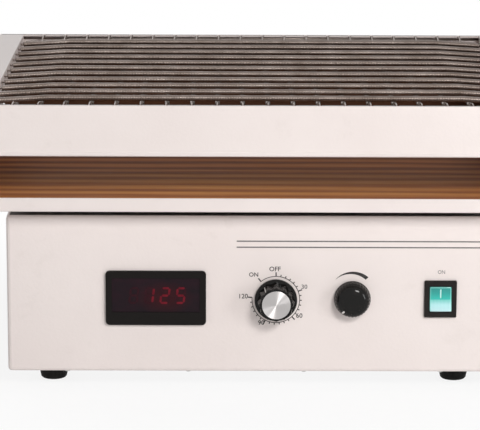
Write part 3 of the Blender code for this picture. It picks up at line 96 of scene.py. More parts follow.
# Painted shade, a near-black colour on the case's top under the tray and on the frames' top flanges: how
# sharply it ends, how far inside the case's edge, and where in a frame's skins
SHADE_EDGE = 0.2 * MM
CASE_EDGE = 2.5 * MM
FRAME_SKIN = 184.6 * MM
SHADE_ANYWHERE = 1.0

# Wood: where along Y a painted light lightens it towards the open front, and where a painted shade darkens
# it towards the rear
PAINTED_LIGHT_Y = (-0.07, -0.18)
PAINTED_SHADE_Y = (0.05, 0.15)
PAINTED_SHADE_SHARE = 0.85

# Smoothing
SHARP_DEG = 38
BEVEL_FROM_DEG = 40
BEVEL_SHARP_DEG = 50
FLAT_DEG = 1
FOLD_BEVEL = (0.5 * MM, 2)
ROCKER_BEVEL = (0.7 * MM, 3)
MERGE = 0.01 * MM

# Springs: wire, turns, hooks, and the dip of the net near its two sides
LONG_COUNT = 13
CROSS_COUNT = 20
CROSS_RADIUS = 2 * MM
COIL_SIDES = 8
COIL_PITCH = 1.3 * MM
COIL_DEPTH = 0.36 * MM
WIRE = 0.68 * MM
WIRE_SIDES = 8
ANCHOR = 0.9 * MM
FIT = 0.3 * MM
OCTAGON_SHARE = math.cos(math.pi / 8)
SIDE_LIP = 20 * MM
LIP_SHEET = 1.5 * MM
LIP_ROOM = 0.6 * MM
SHOULDER = 1.5 * MM
HOOK_RADIUS = 1.6 * MM
HOOK_STEPS = 8
CROSS_END_ROOM = 27 * MM
CROSS_RISE = 20 * MM
LIP_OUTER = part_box("side_panel_right")[1].x - SIDE_LIP
LONG_END = LIP_OUTER - LIP_SHEET - SHOULDER - LIP_ROOM
DIP = 2.5 * MM
DIP_LENGTH = 42 * MM
LONG_SWAY = 0.35 * MM
CROSS_SWAY = 0.4 * MM

# Panel print
PRINT = 0.12 * MM
PRINT_SEAT = 0.02 * MM
CAPITAL_SHARE = 0.7
MARK_BOLD = 0.05 * MM
TIMER_ON_DEG = -39
TIMER_END_DEG = 275
RING = (18.75 * MM, 19.3 * MM)
RING_STEPS = 72
TICKS = 24
MAIN_TICK_EVERY = 6
TICK_START = 19.1 * MM
TICK = (20.7 * MM, 0.75 * MM)
MAIN_TICK = (22.4 * MM, 0.95 * MM)
TIMER_MARKS_MM = (
    ("OFF", -0.9, 24.9, 3.7),
    ("ON", -17.8, 20.3, 3.4),
    ("30", 22.6, 10.4, 3.5),
    ("60", 18.8, -13.4, 3.7),
    ("90", -11.6, -19.2, 3.7),
    ("120", -26.2, 2.5, 3.7),
)
SPEED_BAND_MM = ((-1.58, 2.29, -42.4, 42.2, 17.88), (0.46, 3.47, -49.2, 41.1, 18.58))
BAND_STEPS = 28
STRIPES_MM = (("stripe_upper", 121.75), ("stripe_lower", 116.85))
STRIPE_WIDTH = 1.0 * MM
STRIPE_LEFT = -14.4 * MM
STRIPE_EDGE_ROOM = 3 * MM
SWITCH_MARK_LEVEL = 96.8 * MM
SWITCH_MARK_SHIFT = 0.5 * MM
SWITCH_MARK_HEIGHT = 3.0 * MM

# Display
SEGMENTS = {"1": "bc", "2": "abged", "5": "afgcd", "8": "abcdefg"}
DIGITS_MM = (("8", -96.2), ("1", -83.9), ("2", -71.4), ("5", -58.9))
DIGIT_LEVEL = 77.4 * MM
DIGIT_SIZE = (7.8 * MM, 13.8 * MM)
DIGIT_LEAN = 0.12
STROKE = 1.75 * MM
STROKE_GAP = 0.25 * MM
SCREEN_DEPTH = 0.8 * MM
DIGIT_SEAT = 0.05 * MM
LIT_PROUD = 0.1 * MM
UNLIT_PROUD = 0.04 * MM
# The red haze is painted glow of the lit digits on the screen: its shift from the screen's middle, and where
# it is full and where it ends
HAZE_SHIFT = 7 * MM
HAZE_INNER = 8 * MM
HAZE_OUTER = 24 * MM

# Knobs and rocker: sizes, the knob's profile in shares, and each pointer's angle, width and depths in mm
KNOB_BACK = PANEL_FACE - 1 * MM
KNOB_FLUTES = 32
FLUTE_SIDES = 6
FLUTE_DEPTH = 0.42 * MM
SPINDLE = 3 * MM
RECESS_RADIUS = 6.7 * MM
RECESS_DEPTH = 3 * MM
KNOB_PROFILE = (
    (0.0, 0.99, 0.0), (0.02, 1.0, 0.0), (0.1, 1.0, 0.0), (0.13, 0.995, 0.0), (0.16, 0.99, 0.6),
    (0.24, 0.985, 1.0), (0.38, 0.97, 1.0), (0.5, 0.948, 1.0), (0.62, 0.912, 0.8), (0.72, 0.868, 0.4),
    (0.81, 0.81, 0.1), (0.88, 0.745, 0.0), (0.94, 0.665, 0.0), (0.98, 0.58, 0.0), (1.0, 0.48, 0.0),
    (0.99, 0.36, 0.0), (0.965, 0.18, 0.0),
)
MARK_SINK = 0.3 * MM
MARK_PROUD = 0.08 * MM
RAY_START = 40 * MM
SPEED_POINTER = (221, 1.5 * MM, (7.5, 8.4, 9.2, 9.9, 10.5, 11.0))
TIMER_POINTER = (TIMER_ON_DEG, 1.0 * MM, (4.0, 8.0, 12.0, 15.5))
BAR_START = 1.1 * MM
BAR_LENGTH = 7.0 * MM
BAR_STEPS = 6
BAR_WIDTH = 1.0 * MM
BAR_SINK = 0.4 * MM
BAR_PROUD = 0.12 * MM

# Screws: radius, height and slot of the two sizes, and their places
PAN_SCREW = (3.6 * MM, 2.0 * MM, 0.9 * MM)
SMALL_SCREW = (2.6 * MM, 1.5 * MM, 0.7 * MM)
SCREW_SIDES = 24
SCREW_STEPS = 6
CROSS_REACH_SHARE = 0.62
CROSS_FLOOR_SHARE = 0.35
CROSS_TOP_SHARE = 2.0
SCREW_SEAT = 0.05 * MM
SCREW_TURN_DEG = 37
SCREW_START_DEG = 11
REAR_SCREWS_MM = ((-188, -62, 62, 188), (26, 133))
UNDER_SCREWS_MM = (((-150, -53, 40, 150), (-160, 160)), ((-191.5, 191.5), (-60, 60)))
SIDE_SCREWS_MM = (-130, 0, 130)
SIDE_SCREW_LEVEL = 26 * MM
FOOT_SCREW_LEVEL = 6.0 * MM


# Node trees


def node(tree, kind, inputs=None, **settings):
    """A node with its settings, whose inputs take either a value or another node's output."""
    made = tree.nodes.new(kind)
    for key, value in settings.items():
        setattr(made, key, value)
    for key, value in (inputs or {}).items():
        if isinstance(value, bpy.types.NodeSocket):
            tree.links.new(value, made.inputs[key])
        else:
            made.inputs[key].default_value = value
    return made


def new_material(name, **constants):
    made = bpy.data.materials.new(name)
    made.use_nodes = True
    surface = made.node_tree.nodes["Principled BSDF"]
    for key, value in constants.items():
        socket = surface.inputs[key.replace("_", " ")]
        socket.default_value = (*value, 1.0) if isinstance(value, tuple) else value
    return made, made.node_tree, surface


def place_of(tree, scale=(1.0, 1.0, 1.0), shift=(0.0, 0.0, 0.0)):
    """The point on the object in the part's own frame, shifted and then stretched."""
    here = node(tree, "ShaderNodeTexCoord").outputs["Object"]
    moved = node(tree, "ShaderNodeVectorMath", {0: here, 1: shift}, operation="SUBTRACT").outputs[0]
    return node(tree, "ShaderNodeVectorMath", {0: moved, 1: scale}, operation="MULTIPLY").outputs[0]


def noise(tree, vector, scale, detail=2.0, roughness=0.5, distortion=0.0):
    inputs = {"Vector": vector, "Scale": scale, "Detail": detail, "Roughness": roughness}
    inputs["Distortion"] = distortion
    return node(tree, "ShaderNodeTexNoise", inputs).outputs["Fac"]


def ramp(tree, fac, stops):
    """A colour that runs through the stops, each a place and a colour."""
    made = node(tree, "ShaderNodeValToRGB", {"Fac": fac})
    items = made.color_ramp.elements
    while len(items) < len(stops):
        items.new(0.5)
    for item, (place, colour) in zip(items, stops):
        item.position = place
        item.color = (*colour, 1.0)
    return made.outputs["Color"]


def cloudy(tree, fac, dark, light):
    """A noise turned into a range of tones."""
    return ramp(tree, fac, ((NOISE_LOW, dark), (NOISE_HIGH, light)))


def remap(tree, value, low, high, new_low=0.0, new_high=1.0):
    inputs = {"Value": value, "From Min": low, "From Max": high, "To Min": new_low, "To Max": new_high}
    return node(tree, "ShaderNodeMapRange", inputs, clamp=True).outputs[0]


def spread(tree, value, low, high):
    """A noise turned into a range of numbers."""
    return remap(tree, value, NOISE_LOW, NOISE_HIGH, low, high)


def mix(tree, fac, first, second):
    made = node(tree, "ShaderNodeMix", {"Factor": fac}, data_type="RGBA")
    for key, value in ((6, first), (7, second)):
        if isinstance(value, bpy.types.NodeSocket):
            tree.links.new(value, made.inputs[key])
        else:
            made.inputs[key].default_value = (*value, 1.0)
    return made.outputs[2]


def maths(tree, operation, first, second=0.0):
    return node(tree, "ShaderNodeMath", {0: first, 1: second}, operation=operation).outputs[0]


def share_of(tree, value, share):
    return maths(tree, "MULTIPLY", value, share)


def part_of(tree, vector, axis):
    return node(tree, "ShaderNodeSeparateXYZ", {0: vector}).outputs[axis]


def length_of(tree, vector):
    return node(tree, "ShaderNodeVectorMath", {0: vector}, operation="LENGTH").outputs["Value"]


def waves(tree, value, pitch):
    """A sine of the given pitch along a length."""
    return maths(tree, "SINE", maths(tree, "MULTIPLY", value, math.tau / pitch))


def bump(tree, surface, height, distance):
    made = node(tree, "ShaderNodeBump", {"Height": height, "Distance": distance, "Strength": 1.0})
    tree.links.new(made.outputs[0], surface.inputs["Normal"])


def joined(tree, surface, **sockets):
    for key, value in sockets.items():
        tree.links.new(value, surface.inputs[key.replace("_", " ")])


# Materials


def powder_coat(name, shade_level=None, shade_x=SHADE_ANYWHERE, shade_y=(-SHADE_ANYWHERE, SHADE_ANYWHERE)):
    """Warm white stoved paint: fine orange peel, faint mottling and a little handling grime. Above the given
    level, within the given reach, the colour turns near black as painted shade."""
    made, tree, surface = new_material(name, Coat_Weight=0.12, Coat_Roughness=0.25)
    here = place_of(tree)
    peel = noise(tree, here, 420.0, 2.0, 0.45)
    fine = noise(tree, here, 1500.0, 1.0)
    mottle = noise(tree, here, 9.0, 4.0, 0.6)
    grime = remap(tree, noise(tree, here, 26.0, 6.0, 0.7, 0.6), 0.6, 0.8)
    paint = cloudy(tree, mottle, (0.815, 0.735, 0.712), (0.85, 0.775, 0.752))
    grime_and_painted_shade = mix(tree, share_of(tree, grime, 0.22), paint, (0.6, 0.53, 0.49))
    rough = spread(tree, mottle, 0.38, 0.5)
    height = maths(tree, "ADD", peel, share_of(tree, fine, 0.25))
    if shade_level is not None:
        across = maths(tree, "ABSOLUTE", part_of(tree, here, 0))
        along = part_of(tree, here, 1)
        mask = remap(tree, part_of(tree, here, 2), shade_level - SHADE_EDGE / 2, shade_level)
        for value, edge, within in (
            (across, shade_x, shade_x - SHADE_EDGE),
            (along, shade_y[0], shade_y[0] + SHADE_EDGE),
            (along, shade_y[1], shade_y[1] - SHADE_EDGE),
        ):
            mask = maths(tree, "MULTIPLY", mask, remap(tree, value, edge, within))
        # Painted shade: this near-black colour stands for the shade under the tray and along the frames' top
        # flanges.
        painted_shade_tone = cloudy(tree, mottle, (0.016, 0.011, 0.008), (0.034, 0.024, 0.018))
        grime_and_painted_shade = mix(tree, mask, grime_and_painted_shade, painted_shade_tone)
    joined(tree, surface, Base_Color=grime_and_painted_shade, Roughness=rough)
    bump(tree, surface, height, 0.00008)
    return made


def galvanised():
    """Zinc-coated sheet with its spangle."""
    made, tree, surface = new_material("zinc_spangle", Metallic=1.0)
    here = place_of(tree)
    cells = node(tree, "ShaderNodeTexVoronoi", {"Vector": here, "Scale": 90.0, "Randomness": 1.0})
    value = part_of(tree, cells.outputs["Color"], 0)
    cloud = noise(tree, here, 30.0, 4.0)
    tone = ramp(tree, value, ((0.0, (0.42, 0.43, 0.44)), (1.0, (0.68, 0.69, 0.7))))
    joined(tree, surface, Base_Color=tone, Roughness=spread(tree, cloud, 0.32, 0.55))
    bump(tree, surface, value, 0.00003)
    return made


def rubber(name, tone, grain):
    made, tree, surface = new_material(name, Specular_IOR_Level=0.15)
    here = place_of(tree)
    speck = noise(tree, here, grain, 4.0, 0.6)
    dust = remap(tree, noise(tree, here, 45.0, 5.0, 0.65), 0.5, 0.8)
    dusty = tuple(min(1.0, value * 3.2 + 0.02) for value in tone)
    colour = mix(tree, share_of(tree, dust, 0.35), tone, dusty)
    joined(tree, surface, Base_Color=colour, Roughness=spread(tree, speck, 0.6, 0.85))
    bump(tree, surface, speck, 0.00012)
    return made


def phenolic():
    """Glossy black moulding with fine handling scratches and a trace of dust."""
    constants = {"Coat_Weight": 0.36, "Coat_Roughness": 0.05, "Specular_IOR_Level": 0.02}
    made, tree, surface = new_material("phenolic_gloss", **constants)
    here = place_of(tree)
    swirl = noise(tree, place_of(tree, (1.0, 1.0, 6.0)), 340.0, 5.0, 0.7, 1.5)
    dust = remap(tree, noise(tree, here, 160.0, 5.0, 0.7), 0.55, 0.8)
    colour = mix(tree, share_of(tree, dust, 0.1), (0.006, 0.0055, 0.005), (0.1, 0.08, 0.07))
    joined(tree, surface, Base_Color=colour, Roughness=remap(tree, swirl, 0.35, 0.75, 0.1, 0.26))
    bump(tree, surface, swirl, 0.00001)
    return made


def plastic():
    """Black moulded plastic with a fine spark-eroded grain."""
    made, tree, surface = new_material("plastic_grained", Specular_IOR_Level=0.2)
    here = place_of(tree)
    grain = noise(tree, here, 1300.0, 3.0, 0.6)
    cloud = noise(tree, here, 60.0, 3.0)
    colour = cloudy(tree, cloud, (0.008, 0.0065, 0.006), (0.014, 0.011, 0.01))
    joined(tree, surface, Base_Color=colour, Roughness=spread(tree, cloud, 0.34, 0.46))
    bump(tree, surface, grain, 0.00004)
    return made


def display_filter():
    """Black bezel whose recessed screen is a dark plum filter with the digits' sockets faint behind it,
    tinted red round the lit digits as a painted glow.
    """
    made, tree, surface = new_material("filter_plum", Specular_IOR_Level=0.12)
    low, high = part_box("display_window")
    here = place_of(tree)
    inward = part_of(tree, here, 1)
    deep = remap(tree, inward, low.y + SCREEN_DEPTH - 0.3 * MM, low.y + SCREEN_DEPTH - 0.1 * MM)
    front = remap(tree, inward, low.y + SCREEN_DEPTH + 0.2 * MM, low.y + SCREEN_DEPTH + 0.1 * MM)
    cloud = noise(tree, place_of(tree, (1.0, 1.0, 1.6)), 46.0, 3.0, 0.6, 0.4)
    glow = cloudy(tree, cloud, (0.01, 0.006, 0.009), (0.02, 0.006, 0.011))
    # Painted glow: the screen is tinted red round the lit digits, standing for their light on the filter.
    middle = ((low.x + high.x) / 2 + HAZE_SHIFT, 0.0, (low.z + high.z) / 2)
    reach = length_of(tree, place_of(tree, (1.0, 0.0, 1.7), middle))
    glow = mix(tree, remap(tree, reach, HAZE_OUTER, HAZE_INNER), glow, (0.032, 0.005, 0.008))
    colour = mix(tree, maths(tree, "MULTIPLY", deep, front), (0.0075, 0.006, 0.0055), glow)
    grain = noise(tree, here, 900.0, 3.0)
    rough = remap(tree, deep, 0.0, 1.0, 0.42, 0.2)
    joined(tree, surface, Base_Color=colour, Roughness=rough)
    bump(tree, surface, grain, 0.00001)
    return made


def spun_aluminium():
    """Lathe-spun face: concentric grooves about the dial's axis, which stretch each light into a wedge."""
    constants = {"Metallic": 1.0, "Anisotropic": 1.0, "Anisotropic_Rotation": 0.25}
    constants["Base_Color"] = (0.76, 0.73, 0.72)
    made, tree, surface = new_material("aluminium_spun", **constants)
    low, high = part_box("timer_cap")
    reach = length_of(tree, place_of(tree, (1.0, 0.0, 1.0), tuple((low + high) / 2)))
    groove = waves(tree, reach, 0.32 * MM)
    uneven = noise(tree, node(tree, "ShaderNodeCombineXYZ", {0: reach}).outputs[0], 2600.0, 2.0)
    height = maths(tree, "ADD", groove, share_of(tree, uneven, 1.5))
    tangent = node(tree, "ShaderNodeTangent", direction_type="RADIAL", axis="Y").outputs[0]
    joined(tree, surface, Tangent=tangent, Roughness=spread(tree, uneven, 0.46, 0.58))
    bump(tree, surface, height, 0.000002)
    return made


def lit_rocker():
    """Green lens lit from inside: the pressed half deep teal, the raised half washed out to pale mint."""
    made, tree, surface = new_material("rocker_lens", Coat_Weight=0.4, Coat_Roughness=0.06, Roughness=0.22)
    low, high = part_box("rocker")
    middle = (low.z + high.z) / 2
    here = place_of(tree)
    height = part_of(tree, here, 2)
    upper = remap(tree, height, middle - 0.15 * MM, middle + 0.15 * MM)
    rise = remap(tree, height, middle, high.z)
    fall = remap(tree, height, low.z, middle)
    ribs = remap(tree, waves(tree, part_of(tree, here, 0), 1.1 * MM), -1.0, 1.0)
    cloud = noise(tree, here, 260.0, 2.0)
    stops = ((0.0, (0.015, 0.44, 0.38)), (0.5, (0.006, 0.29, 0.26)), (1.0, (0.004, 0.2, 0.18)))
    teal = ramp(tree, rise, stops)
    stops = ((0.0, (0.46, 0.7, 0.74)), (0.6, (0.36, 0.68, 0.7)), (1.0, (0.06, 0.48, 0.43)))
    mint = ramp(tree, fall, stops)
    striped = mix(tree, share_of(tree, ribs, 0.16), mint, (0.85, 0.97, 0.95))
    clouded = mix(tree, share_of(tree, cloud, 0.2), teal, (0.03, 0.42, 0.36))
    colour = mix(tree, upper, striped, clouded)
    # Painted highlight: the lens's sides and top edge are lightened, standing for light caught on its rim.
    offset = maths(tree, "SUBTRACT", part_of(tree, here, 0), (low.x + high.x) / 2)
    reach = maths(tree, "ABSOLUTE", offset)
    half = (high.x - low.x) / 2
    sides = remap(tree, reach, half - 1.1 * MM, half - 0.5 * MM)
    top = remap(tree, height, high.z - 1.1 * MM, high.z - 0.6 * MM)
    rim_highlight = share_of(tree, maths(tree, "MAXIMUM", sides, top), 0.5)
    colour = mix(tree, rim_highlight, colour, (0.28, 0.8, 0.7))
    joined(tree, surface, Base_Color=colour, Emission_Color=colour)
    surface.inputs["Emission Strength"].default_value = 0.14
    bump(tree, surface, ribs, 0.00002)
    return made


def varnished_wood():
    """Stained and varnished board, its grain running from side to side."""
    made, tree, surface = new_material("wood_varnished", Specular_IOR_Level=0.1)
    bands = noise(tree, place_of(tree, (2.2, 26.0, 26.0)), 1.0, 5.0, 0.6, 0.9)
    rings = node(tree, "ShaderNodeTexWave", {
        "Vector": place_of(tree, (0.9, 9.0, 9.0)), "Scale": 1.6, "Distortion": 5.5,
        "Detail": 3.0, "Detail Scale": 1.2, "Detail Roughness": 0.6,
    }, wave_type="BANDS", bands_direction="Y").outputs["Fac"]
    fibre = noise(tree, place_of(tree, (14.0, 620.0, 620.0)), 1.0, 4.0, 0.65)
    pores = remap(tree, noise(tree, place_of(tree, (34.0, 900.0, 900.0)), 1.0, 2.0), 0.6, 0.72)
    stain = noise(tree, place_of(tree, (3.0, 5.0, 3.0)), 1.0, 2.0)
    figure = mix(tree, 0.42, bands, rings)
    stops = (
        (0.22, (0.07, 0.018, 0.007)),
        (0.42, (0.2, 0.06, 0.017)),
        (0.6, (0.34, 0.115, 0.031)),
        (0.82, (0.46, 0.19, 0.058)),
    )
    colour = ramp(tree, figure, stops)
    # Painted light: a lighter copy of the wood's tones for the part near the open front, where light comes
    # in.
    stops = ((0.22, (0.34, 0.1, 0.026)), (0.5, (0.62, 0.24, 0.055)), (0.82, (0.8, 0.4, 0.11)))
    painted_light_tone = ramp(tree, figure, stops)
    inward = part_of(tree, place_of(tree), 1)
    colour = mix(tree, remap(tree, inward, *PAINTED_LIGHT_Y), colour, painted_light_tone)
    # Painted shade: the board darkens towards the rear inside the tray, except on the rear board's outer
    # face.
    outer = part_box("rear_board")[1].y
    inside = remap(tree, inward, outer - 0.2 * MM, outer - 0.4 * MM)
    deep = maths(tree, "MULTIPLY", remap(tree, inward, *PAINTED_SHADE_Y, 0.0, PAINTED_SHADE_SHARE), inside)
    colour = mix(tree, deep, colour, (0.07, 0.055, 0.045))
    colour = mix(tree, share_of(tree, fibre, 0.3), colour, (0.12, 0.034, 0.012))
    colour = mix(tree, share_of(tree, pores, 0.4), colour, (0.035, 0.011, 0.007))
    colour = mix(tree, remap(tree, stain, 0.35, 0.7, 0.0, 0.3), colour, (0.26, 0.085, 0.03))
    joined(tree, surface, Base_Color=colour, Roughness=spread(tree, fibre, 0.42, 0.58))
    bump(tree, surface, maths(tree, "SUBTRACT", fibre, pores), 0.00006)
    return made


def spring_steel():
    """Oiled spring wire, brownish, lighter and darker in patches of film, with darker specks."""
    made, tree, surface = new_material("spring_wire", Metallic=1.0)
    here = place_of(tree)
    film = noise(tree, here, 38.0, 5.0, 0.65)
    speck = noise(tree, here, 700.0, 3.0, 0.6)
    stops = ((0.3, (0.15, 0.118, 0.1)), (0.55, (0.225, 0.185, 0.165)), (0.75, (0.3, 0.255, 0.23)))
    tone = ramp(tree, film, stops)
    tone = mix(tree, share_of(tree, speck, 0.25), tone, (0.09, 0.06, 0.045))
    joined(tree, surface, Base_Color=tone, Roughness=spread(tree, film, 0.42, 0.3))
    bump(tree, surface, speck, 0.00002)
    return made


def ground_steel(name, tone, stretch, rough):
    """Ground or machined steel whose marks run one way."""
    made, tree, surface = new_material(name, Metallic=1.0)
    lines = noise(tree, place_of(tree, stretch), 1.0, 4.0, 0.6)
    cloud = noise(tree, place_of(tree), 60.0, 3.0)
    colour = cloudy(tree, cloud, tuple(value * 0.85 for value in tone), tone)
    joined(tree, surface, Base_Color=colour, Roughness=spread(tree, lines, rough, rough + 0.14))
    bump(tree, surface, lines, 0.00001)
    return made


def cast_aluminium():
    made, tree, surface = new_material("aluminium_cast", Metallic=0.9)
    here = place_of(tree)
    grain = noise(tree, here, 520.0, 4.0, 0.65)
    cloud = noise(tree, here, 40.0, 4.0)
    colour = cloudy(tree, cloud, (0.44, 0.44, 0.45), (0.6, 0.6, 0.6))
    joined(tree, surface, Base_Color=colour, Roughness=spread(tree, grain, 0.45, 0.65))
    bump(tree, surface, grain, 0.0001)
    return made


def circuit_board():
    """Green board with copper tracks, and above it the finishes of the parts that it carries."""
    made, tree, surface = new_material("board_tracks")
    low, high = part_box("control_board")
    here = place_of(tree)
    bricks = {
        "Vector": here, "Scale": 42.0, "Mortar Size": 0.035, "Mortar": (0.16, 0.3, 0.07, 1.0),
        "Color1": (0.01, 0.11, 0.04, 1.0), "Color2": (0.015, 0.14, 0.05, 1.0),
    }
    tracks = node(tree, "ShaderNodeTexBrick", bricks).outputs["Color"]
    x = part_of(tree, here, 0)
    width = high.x - low.x
    first = remap(tree, x, low.x + width * 0.4, low.x + width * 0.41)
    second = remap(tree, x, low.x + width * 0.62, low.x + width * 0.63)
    grain = noise(tree, here, 300.0, 3.0)
    iron = cloudy(tree, grain, (0.1, 0.075, 0.05), (0.17, 0.13, 0.08))
    tall = mix(tree, second, mix(tree, first, iron, (0.02, 0.022, 0.05)), (0.45, 0.45, 0.46))
    above = remap(tree, part_of(tree, here, 2), low.z + 12 * MM, low.z + 12.4 * MM)
    colour = mix(tree, above, tracks, tall)
    joined(tree, surface, Base_Color=colour, Roughness=spread(tree, grain, 0.3, 0.5))
    bump(tree, surface, grain, 0.00003)
    return made


def motor_enamel():
    made, tree, surface = new_material("enamel_hammered", Metallic=0.3)
    here = place_of(tree)
    cells = node(tree, "ShaderNodeTexVoronoi", {"Vector": here, "Scale": 330.0}).outputs["Distance"]
    colour = cloudy(tree, noise(tree, here, 30.0, 3.0), (0.06, 0.075, 0.1), (0.11, 0.13, 0.17))
    joined(tree, surface, Base_Color=colour, Roughness=remap(tree, cells, 0.0, 0.6, 0.3, 0.5))
    bump(tree, surface, cells, 0.0001)
    return made


def panel_ink(name, tone):
    """Screen-printed ink, slightly uneven where the paint's texture shows through."""
    made, tree, surface = new_material(name, Specular_IOR_Level=0.3)
    here = place_of(tree)
    thin = noise(tree, here, 700.0, 4.0, 0.7)
    pale = tuple(min(1.0, value * 1.6 + 0.03) for value in tone)
    colour = ramp(tree, thin, ((0.35, tone), (0.8, pale)))
    joined(tree, surface, Base_Color=colour, Roughness=spread(tree, thin, 0.45, 0.6))
    return made


def lamp_red(name, low_tone, high_tone):
    """Light-emitting segments, their light varying a little at random."""
    constants = {"Base_Color": (0.012, 0.002, 0.003), "Roughness": 0.6, "Specular_IOR_Level": 0.04}
    made, tree, surface = new_material(name, **constants)
    cloud = noise(tree, place_of(tree), 330.0, 2.0)
    glow = cloudy(tree, cloud, low_tone, high_tone)
    joined(tree, surface, Emission_Color=glow)
    surface.inputs["Emission Strength"].default_value = 1.0
    return made


# Geometry


def mesh_data(name, mesh):
    data = bpy.data.meshes.new(name)
    mesh.to_mesh(data)
    mesh.free()
    return data


def linked(name, data):
    made = bpy.data.objects.new(name, data)
    bpy.context.scene.collection.objects.link(made)
    return made


def finish_mesh(name, mesh, material, body, smooth=False):
    """A piece with its faces outwards, riding on its body."""
    bmesh.ops.recalc_face_normals(mesh, faces=mesh.faces)
    return finish_data(name, mesh_data(name, mesh), material, body, smooth)


def finish_data(name, data, material, body, smooth=False):
    made = linked(name, data)
    data.materials.clear()
    data.materials.append(material)
    if smooth:
        data.shade_smooth()
        data.set_sharp_from_angle(angle=math.radians(SHARP_DEG))
    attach(made, body)
    return made


def add_loft(mesh, rings):
    """Joins rings of points, each with as many points, and closes both ends."""
    made = [[mesh.verts.new(point) for point in ring] for ring in rings]
    for first, second in zip(made, made[1:]):
        for side in range(len(first)):
            mesh.faces.new((first[side - 1], first[side], second[side], second[side - 1]))
    mesh.faces.new(made[0][::-1])
    mesh.faces.new(made[-1])


def add_plate(mesh, outline, front, back):
    """A flat shape given as (x, z) points, from front to back along Y."""
    add_loft(mesh, [[(x, back, z) for x, z in outline], [(x, front, z) for x, z in outline]])


def centre_of(name):
    """The (x, z) middle of a node, as the front panel shows it."""
    low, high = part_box(name)
    return (low.x + high.x) / 2, (low.z + high.z) / 2


def turned(centre, angle_deg, radius):
    """The (x, z) point at a clockwise angle from the top of a circle on the front panel."""
    angle = math.radians(angle_deg)
    return (centre[0] + radius * math.sin(angle), centre[1] + radius * math.cos(angle))


def add_strip(mesh, inner, outer, front, back):
    """A flat strip between two lines of (x, z) points, each with as many points, from front to back."""
    rings = []
    for (near_x, near_z), (far_x, far_z) in zip(inner, outer):
        ring = [(near_x, back, near_z), (far_x, back, far_z), (far_x, front, far_z), (near_x, front, near_z)]
        rings.append(ring)
    add_loft(mesh, rings)


def arc_points(centre, start_deg, end_deg, radius, steps):
    spots = [start_deg + (end_deg - start_deg) * step / steps for step in range(steps + 1)]
    return [turned(centre, spot, radius) for spot in spots]


def add_tick(mesh, centre, angle_deg, inner, outer, width, front, back):
    along = Vector(turned((0, 0), angle_deg, 1))
    across = Vector((along.y, -along.x)) * width / 2
    middle = Vector(centre)
    outline = [middle + along * inner - across, middle + along * inner + across]
    outline += [middle + along * outer + across, middle + along * outer - across]
    add_plate(mesh, [tuple(point) for point in outline], front, back)


def add_rod(mesh, points, radius):
    """A round wire through points that lie in one plane."""
    points = [Vector(point) for point in points]
    normal = Vector((0, 0, 1))
    for before, here, after in zip(points, points[1:], points[2:]):
        bend = (here - before).cross(after - here)
        if bend.length > 1e-9:
            normal = bend.normalized()
            break
    rings = []
    for index, point in enumerate(points):
        forward = (points[min(index + 1, len(points) - 1)] - points[max(index - 1, 0)]).normalized()
        across = normal.cross(forward).normalized()
        spots = [math.tau * side / WIRE_SIDES for side in range(WIRE_SIDES)]
        rings.append([point + (across * math.cos(a) + normal * math.sin(a)) * radius for a in spots])
    add_loft(mesh, rings)


# Wound springs


def net_fall(x):
    """How far the net lies below its middle at this X, in the solids' two straight steps."""
    progress = min(max((abs(x) - LONG_END + DIP_LENGTH) / DIP_LENGTH * 2, 0), 2)
    step = min(math.floor(progress), 1)
    falls = [DIP * (1 - math.cos(math.pi * number / 2)) / 2 for number in (0, 1, 2)]
    return falls[step] + (falls[step + 1] - falls[step]) * (progress - step)


def add_coil(mesh, start, end, radius, centre_at):
    """A close-wound body as two helices, crest and valley, with its ends closed. centre_at gives the line's
    point at a distance along it, and the turns stand square to the line's first direction."""
    turns = round((end - start) / COIL_PITCH)
    pitch = (end - start) / (turns + 1)
    count = turns * COIL_SIDES
    crests = []
    valleys = []
    for index in range(count + 1):
        angle = math.tau * index / COIL_SIDES
        for line, reach, shift in ((crests, radius, 0), (valleys, radius - COIL_DEPTH, pitch / 2)):
            along = start + pitch * index / COIL_SIDES + shift
            point, side = centre_at(along)
            spot = point + side * math.cos(angle) * reach + Vector((0, 0, math.sin(angle) * reach))
            line.append(mesh.verts.new(spot))
    for index in range(count):
        mesh.faces.new((crests[index], crests[index + 1], valleys[index + 1], valleys[index]))
        if index + COIL_SIDES < count:
            after = index + COIL_SIDES
            face = (valleys[index], valleys[index + 1], crests[after + 1], crests[after])
            mesh.faces.new(face)
    last = count - COIL_SIDES
    mesh.faces.new([valleys[0]] + crests[COIL_SIDES::-1])
    mesh.faces.new([crests[count]] + valleys[last:])
    return valleys


def crease(mesh, valleys):
    """Keeps the line between two turns sharp, so that each turn shades as a round wire."""
    for first, second in zip(valleys, valleys[1:]):
        edge = mesh.edges.get((first, second))
        if edge:
            edge.smooth = False


def finish_springs(name, mesh, material, node_name):
    for face in mesh.faces:
        face.smooth = True
    made = finish_mesh(name, mesh, material, "tray")
    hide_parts(node_name)


def hook_end(start, level, hook_x):
    """The straight shoulder of a long spring's end, and its half-round hook, as (x, z) points."""
    points = [(start - SHOULDER, level), (start + SHOULDER, level)]
    for step in range(HOOK_STEPS + 1):
        angle = math.radians(90 - 180 * step / HOOK_STEPS)
        x = hook_x + HOOK_RADIUS * math.cos(angle)
        points.append((x, level - HOOK_RADIUS + HOOK_RADIUS * math.sin(angle)))
    return points


